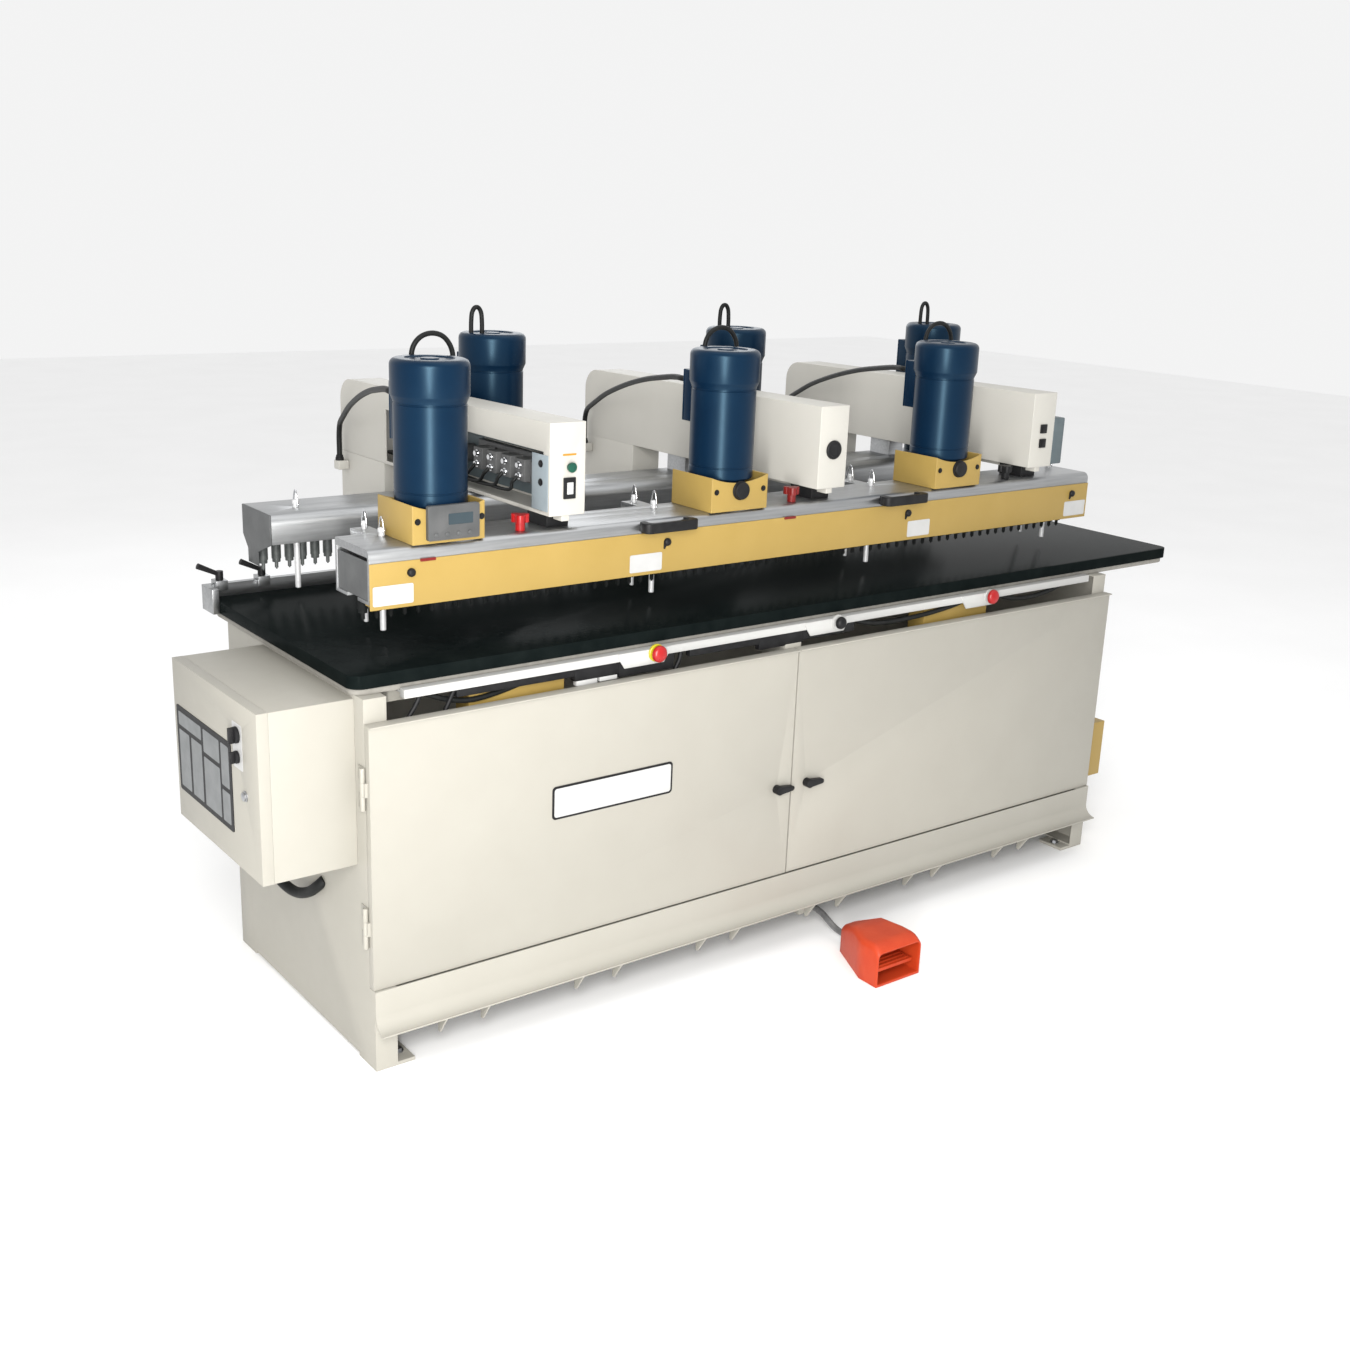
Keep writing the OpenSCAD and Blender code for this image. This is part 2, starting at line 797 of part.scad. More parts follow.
// Kick sheet across the front: upright, then flaring out to its lower edge
module sill_outline() {
  y1 = y_front;
  y0 = y_front - sheet_t;
  bend_z = sill_low_z + sill_flare;
  translate([y0, bend_z])
    square([sheet_t, sill_top_z - bend_z]);
  translate([y0 - sill_flare + sheet_t, bend_z])
    intersection() {
      difference() {
        circle(sill_flare);
        circle(sill_flare - sheet_t);
      }
      translate([0, -sill_flare])
        square([sill_flare, sill_flare]);
    }
}
module front_sill() {
  tip_y = y_front - sill_flare;
  color("ivory") {
    along_x(x_left, x_right)
      sill_outline();
    for (i = [0 : gusset_pairs - 1], s = [-1, 1]) {
      x = gusset_mid + (i - (gusset_pairs - 1) / 2) * gusset_pitch + s * gusset_gap / 2;
      along_x(x - gusset_t / 2, x + gusset_t / 2)
        polygon([[tip_y, sill_low_z], [y_front, sill_low_z],
                 [y_front, sill_low_z - gusset_h], [y_front - gusset_foot, sill_low_z - gusset_h]]);
      along_x(x - gusset_t / 2, x + gusset_t / 2)
        difference() {
          translate([y_front - sill_flare, sill_low_z])
            square([sill_flare, sill_flare]);
          translate([y_front - sill_flare, sill_low_z + sill_flare])
            circle(sill_flare);
        }
    }
  }
}

// Fixed leaves, end knuckles and pins of the door hinges
module fixed_hinge(x, z, side) {
  face_x = side < 0 ? x_left : x_right;
  for (dz = [0, 2 * knuckle_l])
    difference() {
      union() {
        rod_z(knuckle_r, x, hinge_y, z + dz, z + dz + knuckle_l);
        block(min(face_x, face_x + side * leaf_t), max(face_x, face_x + side * leaf_t),
              hinge_y, hinge_y + leaf_l, z + dz, z + dz + knuckle_l);
      }
      rod_z(pin_r, x, hinge_y, z + dz - 1, z + dz + knuckle_l + 1);
    }
  rod_z(pin_r, x, hinge_y, z, z + 3 * knuckle_l);
}
module door_hinges() {
  color("silver") {
    for (z = hinge_z) {
      fixed_hinge(hinge_left_x, z, -1);
      fixed_hinge(hinge_right_x, z, 1);
    }
    for (z = box_hinge_z) {
      for (dz = [0, 2 * knuckle_l])
        difference() {
          union() {
            rod_z(knuckle_r, box_x0, box_hinge_y, z + dz, z + dz + knuckle_l);
            block(box_x0, box_x0 + 24, box_y1, box_hinge_y + 1, z + dz, z + dz + knuckle_l);
          }
          rod_z(pin_r, box_x0, box_hinge_y, z + dz - 1, z + dz + knuckle_l + 1);
        }
      rod_z(pin_r, box_x0, box_hinge_y, z, z + 3 * knuckle_l);
    }
  }
}

// A door: a pan open at the back, with a folded lip on top and two middle knuckles
module door_pan(x0, x1, hinge_x) {
  edge_x = hinge_x < x0 ? x0 + sheet_t : x1 - sheet_t;
  difference() {
    union() {
      difference() {
        union() {
          block(x0, x1, door_y, door_y + door_t, door_low_z, door_top_z);
          block(x0, x1, door_y - door_lip, door_y, door_top_z - sheet_t, door_top_z);
        }
        block(x0 + sheet_t, x1 - sheet_t, door_y + sheet_t, door_y + door_t + 1,
              door_low_z + sheet_t, door_top_z - sheet_t);
      }
      for (z = hinge_z) {
        rod_z(knuckle_r, hinge_x, hinge_y, z + knuckle_l + run_gap, z + 2 * knuckle_l - run_gap);
        block(min(hinge_x, edge_x), max(hinge_x, edge_x), hinge_y - 2 * knuckle_r, door_y + door_t,
              z + knuckle_l + run_gap, z + 2 * knuckle_l - run_gap);
      }
    }
    for (z = hinge_z)
      rod_z(pin_r + run_gap, hinge_x, hinge_y, z, z + 3 * knuckle_l);
  }
}
module left_door() {
  color("ivory")
    difference() {
      door_pan(x_left, split_left_x, hinge_left_x);
      rod_y(stem_r / 2 + run_gap, split_left_x - handle_in_left, handle_z, door_y - 1, door_y + door_t);
    }
}
module right_door() {
  color("ivory")
    difference() {
      door_pan(split_right_x, x_right, hinge_right_x);
      rod_y(stem_r / 2 + run_gap, split_right_x + handle_in_right, handle_z, door_y - 1, door_y + door_t);
    }
}

// A lever handle with its shaft through the door and a cam behind the post
module door_handle(x) {
  front_y = door_y - handle_gap;
  cam_y = door_y + sheet_t + handle_gap;
  color("black") {
    rod_y(handle_r, x, handle_z, front_y - handle_t - 6, front_y);
    translate([x, front_y - 6, handle_z])
      rotate([90, 0, 0])
        linear_extrude(handle_t)
          union() {
            translate([handle_l - 6, 0])
              circle(6);
            polygon([[0, handle_r - 1], [handle_l - 6, 6], [handle_l - 6, -6], [0, 1 - handle_r]]);
          }
    rod_y(stem_r / 2, x, handle_z, front_y, cam_y + 5);
    block(x - 6, x + 6, cam_y, cam_y + 5, handle_z - 8, handle_z + 30);
  }
}
module left_handle() {
  door_handle(split_left_x - handle_in_left);
}
module right_handle() {
  door_handle(split_right_x + handle_in_right);
}

// Table
module table_core() {
  color("dimgray")
    translate([0, 0, core_z])
      linear_extrude(core_t)
        round_rect(table_x0 + core_set, table_x1 - core_set,
                   table_y0 + core_set, table_y1 - core_set, table_r);
}
module table_top() {
  color([0.12, 0.13, 0.15])
    difference() {
      translate([0, 0, table_h - table_t])
        linear_extrude(table_t)
          round_rect(table_x0, table_x1, table_y0, table_y1, table_r);
      block(table_x0 - 1, fence_x1, fence_y, table_y1 + 1, table_h - fence_seat, table_h + 1);
    }
}

// Fence rail with its end block, and the two stops that clamp on it
module fence_rail() {
  color("silver") {
    block(table_x0, fence_x1, fence_y, fence_y + fence_t, table_h - fence_seat, table_h + fence_h);
    block(table_x0 - fence_t, table_x0, fence_y - fence_block, fence_y + fence_t,
          table_h - table_t, table_h + fence_h);
  }
}
module fence_stop(x) {
  color("silver")
    difference() {
      union() {
        block(x - stop_w / 2, x + stop_w / 2, fence_y - stop_wall, fence_y + fence_t + stop_wall,
              stop_z, stop_top_z);
        rod_z(stem_r / 2, x, lever_y, stop_top_z, stop_top_z + lever_hub_h - lever_lid - run_gap);
      }
      block(x - stop_w, x + stop_w, fence_y - run_gap, fence_y + fence_t + run_gap,
            stop_z - 1, table_h + fence_h + run_gap);
    }
}
module fence_stop_left() {
  fence_stop(table_x0 + stop_left_x);
}
module fence_stop_right() {
  fence_stop(table_x0 + stop_right_x);
}
module stop_lever(x) {
  z0 = stop_top_z + run_gap;
  color("black")
    difference() {
      union() {
        rod_z(lever_r, x, lever_y, z0, z0 + lever_hub_h);
        translate([x, lever_y, z0 + lever_root_h])
          rotate([0, -90 + lever_rise, 0])
            cylinder(r1 = lever_root_r, r2 = lever_tip_r, h = lever_l);
      }
      rod_z(stem_r / 2 + run_gap, x, lever_y, z0 - 1, z0 + lever_hub_h - lever_lid);
    }
}
module stop_lever_left() {
  stop_lever(table_x0 + stop_left_x);
}
module stop_lever_right() {
  stop_lever(table_x0 + stop_right_x);
}

// Control rail under the table's front edge, its hangers and three switch panels
module switch_panel(x) {
  x1 = x + switch_in;
  x0 = x1 - switch_w;
  cut = switch_h / 3;
  difference() {
    translate([0, switch_y + switch_t, 0])
      rotate([90, 0, 0])
        linear_extrude(switch_t)
          polygon([[x0 + cut, rail_mid_z - switch_h / 2], [x1 - cut, rail_mid_z - switch_h / 2],
                   [x1, rail_mid_z], [x1, rail_mid_z + rail_h / 2],
                   [x0, rail_mid_z + rail_h / 2], [x0, rail_mid_z]]);
    rod_y(stem_r + run_gap, x, rail_mid_z, switch_y - 1, switch_y + switch_t + 1);
  }
}
module control_rail() {
  color("white") {
    difference() {
      block(rail_mid_x - rail_l / 2, rail_mid_x + rail_l / 2, rail_y, rail_y + rail_d,
            rail_top_z - rail_h, rail_top_z);
      for (x = button_x)
        rod_y(stem_r + run_gap, x, rail_mid_z, rail_y - 1, rail_y + rail_d + 1);
    }
    for (i = [-2 : 2]) {
      x = rail_mid_x + i * (rail_l - hanger_w) / 4;
      block(x - hanger_w / 2, x + hanger_w / 2, rail_y + rail_d / 2, hanger_y1, core_z - hanger_t, core_z);
    }
    for (x = button_x) {
      switch_panel(x);
      difference() {
        rod_y(estop_r - 1, x, rail_mid_z, button_y, switch_y);
        rod_y(stem_r + run_gap, x, rail_mid_z, button_y - 1, switch_y + 1);
      }
    }
  }
}
module push_button(x, r) {
  front_y = button_y - button_travel - run_gap;
  rod_y(r, x, rail_mid_z, front_y - head_t, front_y);
  rod_y(stem_r, x, rail_mid_z, front_y, rail_y + rail_d - button_travel);
}
module estop_left() {
  color("red")
    push_button(estop_left_x, estop_r);
}
module estop_right() {
  color("red")
    push_button(estop_right_x, estop_r);
}
module start_button() {
  color("black")
    push_button(start_x, estop_r - 4);
}

// Yellow covers over the clamp cylinders behind the doors' upper edge
module cylinder_covers() {
  y1 = y_front + frame_top_set;
  z1 = core_z - 2 * hanger_t;
  color("goldenrod")
    for (x = cover_x)
      difference() {
        block(x - cover_w / 2, x + cover_w / 2, y1 - cover_d, y1, z1 - cover_h, z1);
        block(x - cover_w / 2 + sheet_t, x + cover_w / 2 - sheet_t, y1 - cover_d + sheet_t, y1 - sheet_t,
              z1 - cover_h - 1, z1 - sheet_t);
      }
}

// Electrical enclosure on the left end, open towards its door
module enclosure() {
  color("ivory")
    difference() {
      block(box_x0, x_left, box_y0, box_y1, box_z, box_z + box_h);
      block(box_x0 - 1, x_left - sheet_t, box_y0 + sheet_t, box_y1 - sheet_t,
            box_z + sheet_t, box_z + box_h - sheet_t);
    }
}
// Mounting plate with two rows of switching blocks
module control_gear() {
  plate_x = x_left - sheet_t - 4;
  block_d = 60;
  color("gray") {
    block(plate_x, x_left - sheet_t, box_y0 + 30, box_y1 - 30, box_z + 30, box_z + box_h - 30);
    for (z = [box_z + 60, box_z + 200], i = [0 : 5])
      block(plate_x - block_d, plate_x, box_y0 + 50 + i * 58, box_y0 + 98 + i * 58, z, z + 80);
  }
}
module enclosure_door() {
  color("ivory")
    difference() {
      union() {
        difference() {
          block(box_face_x, box_x0 - box_door_gap, box_y0, box_y1, box_z, box_z + box_h);
          block(box_face_x + sheet_t, box_x0, box_y0 + sheet_t, box_y1 - sheet_t,
                box_z + sheet_t, box_z + box_h - sheet_t);
        }
        for (z = box_hinge_z) {
          rod_z(knuckle_r, box_x0, box_hinge_y, z + knuckle_l + run_gap, z + 2 * knuckle_l - run_gap);
          block(box_x0 - 16, box_x0 - box_door_gap, box_y1 - 1, box_hinge_y + 1,
                z + knuckle_l + run_gap, z + 2 * knuckle_l - run_gap);
        }
      }
      for (z = box_hinge_z)
        rod_z(pin_r + run_gap, box_x0, box_hinge_y, z, z + 3 * knuckle_l);
      for (z = [main_switch_z, selector_z])
        rod_x(stem_r / 2 + run_gap, box_y0 + box_switch_in, box_z + z,
              box_face_x - 1, box_face_x + sheet_t + 1);
    }
}
module turn_switch(r, z) {
  y = box_y0 + box_switch_in;
  x1 = box_face_x - switch_gap;
  color("black") {
    rod_x(r, y, z, x1 - 8, x1);
    block(x1 - switch_out, x1 - 8, y - r / 4, y + r / 4, z - r + 1, z + r - 1);
    rod_x(stem_r / 2, y, z, x1, x1 + switch_gap + sheet_t + 8);
  }
}
module main_switch() {
  turn_switch(main_switch_r, box_z + main_switch_z);
}
module selector_switch() {
  turn_switch(selector_r, box_z + selector_z);
}

// Yellow box on the right end panel
module side_box() {
  y0 = y_front + side_box_set;
  color("goldenrod")
    difference() {
      block(x_right, x_right + side_box_w, y0, y0 + side_box_d, side_box_z, side_box_z + side_box_h);
      block(x_right - 1, x_right + side_box_w - sheet_t, y0 + sheet_t, y0 + side_box_d - sheet_t,
            side_box_z + sheet_t, side_box_z + side_box_h - sheet_t);
    }
}

// Foot pedal: guard open to the front, treadle on a pin, and the conduit to it
module pedal_outline(inset, low_z) {
  polygon([[pedal_y + inset, low_z], [pedal_y1 - inset, low_z], [pedal_y1 - inset, pedal_back_h - inset],
           [pedal_y1 - pedal_slope, pedal_h - inset], [pedal_y + pedal_brow, pedal_h - inset],
           [pedal_y + inset, pedal_h - pedal_brow / 2 - inset]]);
}
// Plan of the guard, narrower towards its back
module pedal_plan(inset) {
  polygon([[pedal_x + inset, pedal_y + inset], [pedal_x1 - inset, pedal_y + inset],
           [pedal_x1 - inset, hood_y], [pedal_back_x + pedal_back_w - inset, pedal_y1 - inset],
           [pedal_back_x + inset, pedal_y1 - inset], [pedal_x + inset, hood_y]]);
}
module pedal_shape(inset, low_z) {
  intersection() {
    along_x(pedal_x + inset, pedal_x1 - inset)
      pedal_outline(inset, low_z);
    linear_extrude(pedal_h)
      pedal_plan(inset);
  }
}
module pedal_guard() {
  color("orangered")
    difference() {
      union() {
        pedal_shape(0, 0);
        rod_y(conduit_r + 4, pedal_mid_x, conduit_z1, pedal_y1 - 1, pedal_y1 + gland_l);
      }
      pedal_shape(pedal_wall, pedal_floor);
      block(pedal_x + 2 * pedal_wall, pedal_x1 - 2 * pedal_wall, pedal_y - 1, pedal_y + 2 * pedal_wall,
            mouth_low_z, mouth_top_z);
      rod_x(treadle_pin_r, treadle_y1, treadle_z, pedal_x - 1, pedal_x1 + 1);
    }
}
module pedal_treadle() {
  color("orangered") {
    intersection() {
      block(pedal_x, pedal_x1, pedal_y + 4 * pedal_wall, treadle_y1,
            treadle_z - treadle_t / 2, treadle_z + treadle_t / 2);
      linear_extrude(pedal_h)
        pedal_plan(3 * pedal_wall);
    }
    rod_x(treadle_pin_r - run_gap, treadle_y1, treadle_z, pin_x0, pin_x1);
  }
}
module pedal_conduit() {
  color("lightgray")
    tube(curve(conduit_route, 3), conduit_r, 10, [1, 0, 0]);
}

// Skids and cross beam behind the cabinet, with the guide posts
module column_base() {
  color("ivory") {
    for (x = arm_x)
      block(x - skid_w / 2, x + skid_w / 2, skid_y0, tie_y - lift_r - 8, 0, skid_h);
    block(arm_x[0] - skid_w / 2, arm_x[2] + skid_w / 2, tie_y - lift_r - 8, skid_y1, 0, skid_h);
  }
  color("silver")
    for (x = arm_x)
      rod_z(post_r, x, column_mid_y, skid_h, post_top_z);
}

// Lift cylinders on the cross beam, open at the top for their rods
module lift_cylinders() {
  color("silver")
    for (x = lift_x)
      difference() {
        rod_z(lift_r, x, tie_y, skid_h, lift_top_z);
        rod_z(lift_r - lift_wall, x, tie_y, skid_h + lift_floor, lift_top_z - lift_floor);
        rod_z(lift_rod_r + run_gap, x, tie_y, lift_top_z - lift_floor - 1, lift_top_z + 1);
      }
}

// Three box columns that run on the guide posts, the beam that ties them, and the lift rods
module columns() {
  color("ivory") {
    for (x = arm_x)
      difference() {
        block(x - arm_w / 2, x + arm_w / 2, column_y0, arm_back_y, column_z, arm_z);
        block(x - arm_w / 2 + arm_t, x + arm_w / 2 - arm_t, column_y0 + arm_t, arm_back_y - arm_t,
              column_z + guide_t, arm_z + 1);
        rod_z(post_r + run_gap, x, column_mid_y, column_z - 1, column_z + guide_t + 1);
      }
    block(arm_x[0] - arm_w / 2, arm_x[2] + arm_w / 2, arm_back_y, arm_back_y + tie_w, tie_z, tie_z + tie_h);
  }
  color("gainsboro")
    for (x = lift_x) {
      rod_z(lift_r - lift_wall - run_gap, x, tie_y, piston_z, piston_z + piston_t);
      rod_z(lift_rod_r, x, tie_y, piston_z + piston_t, tie_z);
    }
}

// An arm's side view, drawn in by an inset
module arm_outline(inset) {
  r = arm_round - inset;
  polygon(concat([[arm_front_y + inset, arm_z + inset], [arm_back_y - inset, arm_z + inset]],
                 [for (a = [0 : 10 : 90])
                   [arm_back_y - arm_round + r * cos(a), arm_top_z - arm_fall - arm_round + r * sin(a)]],
                 [[arm_front_y + inset, arm_top_z - inset]]));
}
// An arm: a box beam open at the back, with a slide rail under its front
module arm(x) {
  x0 = x - arm_w / 2 + arm_t;
  x1 = x + arm_w / 2 - arm_t;
  difference() {
    along_x(x - arm_w / 2, x + arm_w / 2)
      arm_outline(0);
    along_x(x0, x1)
      arm_outline(arm_t);
    block(x0, x1, arm_back_y - arm_t - 1, arm_back_y + 1, arm_z + arm_t,
          arm_top_z - arm_fall - arm_round);
  }
  block(x - slide_w / 2, x + slide_w / 2, slide_y0, slide_y1, slide_z, arm_z);
}
module left_arm() {
  x = arm_x[0];
  color("ivory")
    difference() {
      arm(x);
      block(x - arm_w / 2 - 1, x - arm_w / 2 + arm_t + 1, arm_front_y + arm_nose, column_y0 - 10,
            arm_z + 2 * arm_t, arm_top_z - arm_hood);
      rod_y(stem_r + run_gap, arm_button_x, button_z, arm_front_y - 1, arm_front_y + arm_t + 1);
    }
}
module plain_arms() {
  color("ivory") {
    arm(arm_x[1]);
    arm(arm_x[2]);
  }
}

// Air valves and their manifold on the inner wall of the left arm
module valve_bank() {
  x1 = arm_x[0] + arm_w / 2 - arm_t;
  z = valve_z;
  color("slategray") {
    block(x1 - 18, x1, arm_front_y + 80, arm_front_y + 420, z - 30, z + 40);
    for (i = [0 : 4])
      block(x1 - 52, x1 - 18, valve_y + i * valve_pitch, valve_y + 40 + i * valve_pitch, z - 20, z + 30);
    rod_x(22, gauge_y, z, x1 - 40, x1);
    rod_z(17, x1 - 30, bowl_y, arm_z + arm_t, z + 26);
  }
}

// Round plug, switches, side box and cable glands on the arms
module arm_fittings() {
  color("black") {
    rod_y(plug_r, arm_x[1], plug_z, arm_front_y - rocker_t, arm_front_y);
    for (z = [rocker_z, rocker_z - rocker_pitch])
      block(arm_x[2] - rocker_w / 2, arm_x[2] + rocker_w / 2, arm_front_y - rocker_t, arm_front_y,
            z, z + rocker_w);
    block(arm_button_x - rocker_w / 2, arm_button_x + rocker_w / 2,
          arm_front_y - rocker_t, arm_front_y, arm_z + 36, arm_z + 82);
    block(arm_x[2] + arm_w / 2, arm_x[2] + arm_w / 2 + pod_w, arm_front_y, arm_front_y + pod_l,
          arm_z + arm_t, arm_z + arm_t + pod_h);
    for (x = arm_x) {
      rod_z(gland_r, x - arm_w / 2 - cable_out, cable_end_y, cable_end_z - gland_l, cable_end_z);
      block(x - arm_w / 2 - elbow_w, x - arm_w / 2, cable_end_y - elbow_w / 2, cable_end_y + elbow_w / 2,
            cable_end_z - gland_l - elbow_h, cable_end_z - gland_l);
    }
  }
}
module arm_button() {
  y = arm_front_y - button_travel - run_gap;
  color("green") {
    rod_y(stem_r + 3, arm_button_x, button_z, y - 6, y);
    rod_y(stem_r, arm_button_x, button_z, y, arm_front_y + arm_t + 6);
  }
}

// Outline of a beam: a tube open below over its gear case, with round front shoulders
module beam_outline(y0, y1, z0, z1, row_y, shoulder_r) {
  slot = case_w / 2 + slot_gap;
  difference() {
    union() {
      translate([y0 + shoulder_r, z0])
        square([y1 - y0 - shoulder_r, z1 - z0]);
      translate([y0, z0])
        square([y1 - y0, z1 - z0 - shoulder_r]);
      translate([y0 + shoulder_r, z1 - shoulder_r])
        circle(shoulder_r);
    }
    translate([y0 + beam_wall, z0 + beam_wall])
      square([y1 - y0 - 2 * beam_wall, z1 - z0 - shoulder_r - beam_wall]);
    translate([row_y - slot, z0 - 1])
      square([2 * slot, beam_wall + 2]);
  }
}
// A gear case hung from the beam's upper wall
module gear_case(row_y, top_z) {
  block(beam_x0 + 10, beam_x0 + beam_l - 10, row_y - case_w / 2, row_y + case_w / 2, case_z, top_z);
}
module rear_beam() {
  color("silver") {
    difference() {
      along_x(beam_x0, beam_x0 + beam_l)
        beam_outline(rear_y0, rear_y1, rear_low_z, rear_top_z, rear_row_y, rear_shoulder_r);
      for (x = rear_station_x)
        rod_z(rod_r + run_gap, x, rear_rod_y, rear_low_z - 1, rear_top_z + 1);
    }
    gear_case(rear_row_y, rear_top_z - rear_shoulder_r);
    for (x = arm_x)
      block(x - block_w / 2, x + block_w / 2, rear_row_y - block_l / 2, rear_row_y + block_l / 2,
            rear_top_z, arm_z);
  }
}
module rear_end_plates() {
  low_z = chuck_low_z + 4;
  neck_y = rear_row_y - chuck_r - 22;
  color("dimgray")
    for (x = [beam_x0 - end_plate_t, beam_x0 + beam_l])
      along_x(x, x + end_plate_t)
        polygon([[rear_y0, rear_top_z], [rear_y0, rear_low_z], [neck_y, rear_low_z - 30], [neck_y, low_z],
                 [rear_row_y + chuck_r + 12, low_z], [rear_row_y + chuck_r + 12, rear_low_z - 30],
                 [rear_y1, rear_low_z], [rear_y1, rear_top_z]]);
}

// A chuck and its bit, as two solids that meet face to face
module spindle(x, row_y) {
  rod_z(chuck_r, x, row_y, chuck_low_z, case_z);
  rod_z(bit_r, x, row_y, tip_z, chuck_low_z);
}
// The first spindle of a row, free to turn below its gear case
module lead_spindle(row_y) {
  color("black") {
    rod_z(chuck_r, spindle_x[0], row_y, chuck_low_z, case_z - spindle_rest);
    rod_z(bit_r, spindle_x[0], row_y, tip_z, chuck_low_z);
  }
}
module rear_spindles() {
  color("black")
    for (i = [1 : spindle_n - 1])
      spindle(spindle_x[i], rear_row_y);
}
module rear_lead_spindle() {
  lead_spindle(rear_row_y);
}
module front_spindles() {
  color("black")
    for (i = [1 : spindle_n - 1])
      spindle(spindle_x[i], front_row_y);
}
module front_lead_spindle() {
  lead_spindle(front_row_y);
}

// A motor on its flange, with its fan cowl and a junction box on its left side
module motor(x, y, z0) {
  cowl_z = motor_top_z - cowl_h;
  translate([x, y, 0])
    rotate_extrude()
      union() {
        translate([0, z0])
          square([flange_r, flange_h]);
        translate([0, z0 + flange_h])
          square([motor_r, cowl_z - z0 - flange_h]);
        translate([0, cowl_z])
          square([cowl_r, cowl_h - cowl_edge]);
        translate([0, motor_top_z - cowl_edge])
          square([cowl_r - cowl_edge, cowl_edge]);
        intersection() {
          translate([cowl_r - cowl_edge, motor_top_z - cowl_edge])
            circle(cowl_edge);
          translate([cowl_r - cowl_edge, motor_top_z - cowl_edge])
            square(cowl_edge);
        }
      }
  block(x - jbox_w / 2, x + jbox_w / 2, y + motor_r / 2, y + motor_r + jbox_out, jbox_z, jbox_z + jbox_h);
}
// A box around a motor's foot, open above, its front and back edges dipping
module motor_box(x, y0, y1, z0, w) {
  dip_r = (w * w / 4 + mbox_dip * mbox_dip) / (2 * mbox_dip);
  difference() {
    block(x - w / 2, x + w / 2, y0, y1, z0, z0 + mbox_h);
    block(x - w / 2 + mbox_t, x + w / 2 - mbox_t, y0 + mbox_t, y1 - mbox_t, z0 - 1, z0 + mbox_h + 1);
    rod_y(dip_r, x, z0 + mbox_h - mbox_dip + dip_r, y0 - 1, y1 + 1);
  }
}
// A lead that leaves the motor's top and loops back into it
module lead_loop(x, y, r, leg) {
  for (s = [-1, 1])
    rod_z(lead_r, x + s * r, y, motor_top_z, motor_top_z + leg);
  translate([x, y, motor_top_z + leg])
    rotate([90, 0, 0])
      rotate_extrude(angle = 180)
        translate([r, 0])
          circle(lead_r, $fn = 24);
}
module rear_motors() {
  color("midnightblue")
    for (x = rear_motor_x) {
      motor(x, rear_row_y, rear_top_z);
      lead_loop(x - rear_loop_out, rear_row_y, rear_loop_r, rear_loop_leg);
    }
}
module front_motors() {
  color("midnightblue")
    for (x = front_motor_x) {
      motor(x, front_row_y, front_top_z);
      lead_loop(x, front_row_y, loop_r, loop_leg);
    }
}
module front_motor_boxes() {
  color("goldenrod")
    for (x = front_motor_x)
      motor_box(x, front_y0, front_y1, front_top_z, mbox_w);
}

// Front beam with its gear case and the lugs that carry the guide rods
module front_beam() {
  color("silver") {
    difference() {
      along_x(beam_x0, beam_x0 + beam_l)
        beam_outline(front_y0, front_y1, front_low_z, front_top_z, front_row_y, front_shoulder_r);
      for (x = station_x)
        rod_z(rod_r + run_gap, x, front_rod_y, front_low_z - 1, front_top_z + 1);
    }
    gear_case(front_row_y, front_top_z - front_shoulder_r);
    for (x = station_x)
      difference() {
        block(min(x + lug_w / 2, beam_x0 + beam_l) - lug_w, min(x + lug_w / 2, beam_x0 + beam_l),
              front_y1, lug_y1, front_top_z - lug_t, front_top_z);
        rod_z(guide_rod_r + run_gap, x, guide_rod_y, front_top_z - lug_t - 1, front_top_z + 1);
      }
  }
}
module front_cover() {
  color("goldenrod") {
    block(beam_x0, beam_x0 + beam_l, front_y0 - cover_t, front_y0, cover_low_z, cover_top_z);
    block(beam_x0, beam_x0 + beam_l, front_y0, front_y0 + cover_lip, cover_low_z, front_low_z);
  }
}

// A hold-down rod with its cap above the beam
module hold_down(x, y, r, top_z) {
  translate([x, y, 0])
    rotate_extrude()
      polygon([[0, rod_low_z], [r - 1, rod_low_z], [r, rod_low_z + 1], [r, top_z + 2], [cap_r, top_z + 2],
               [r / 2, top_z + cap_h], [0, top_z + cap_h]]);
}
module rear_hold_downs() {
  color("gainsboro")
    for (x = rear_station_x)
      hold_down(x, rear_rod_y, rod_r, rear_top_z);
}
module front_hold_downs() {
  color("gainsboro")
    for (x = station_x) {
      hold_down(x, front_rod_y, rod_r, front_top_z);
      hold_down(x, guide_rod_y, guide_rod_r, front_top_z);
    }
}

// Two bow handles on the beam's shoulder
module bow_handles() {
  z0 = cover_top_z + bow_gap;
  color("black")
    for (x = bow_x)
      translate([0, 0, z0])
        linear_extrude(bow_t)
          difference() {
            union() {
              round_rect(x - bow_l / 2, x + bow_l / 2, front_y0 - bow_reach, front_y0 - bow_gap, bow_r);
              for (s = [-1, 1])
                translate([x + s * (bow_l / 2 - bow_r) - bow_foot / 2, front_y0 - bow_r])
                  square([bow_foot, bow_r]);
            }
            round_rect(x - bow_l / 2 + bow_side, x + bow_l / 2 - bow_side, front_y0 - bow_reach + bow_grip,
                       front_y0 + bow_r, bow_grip / 2);
          }
}

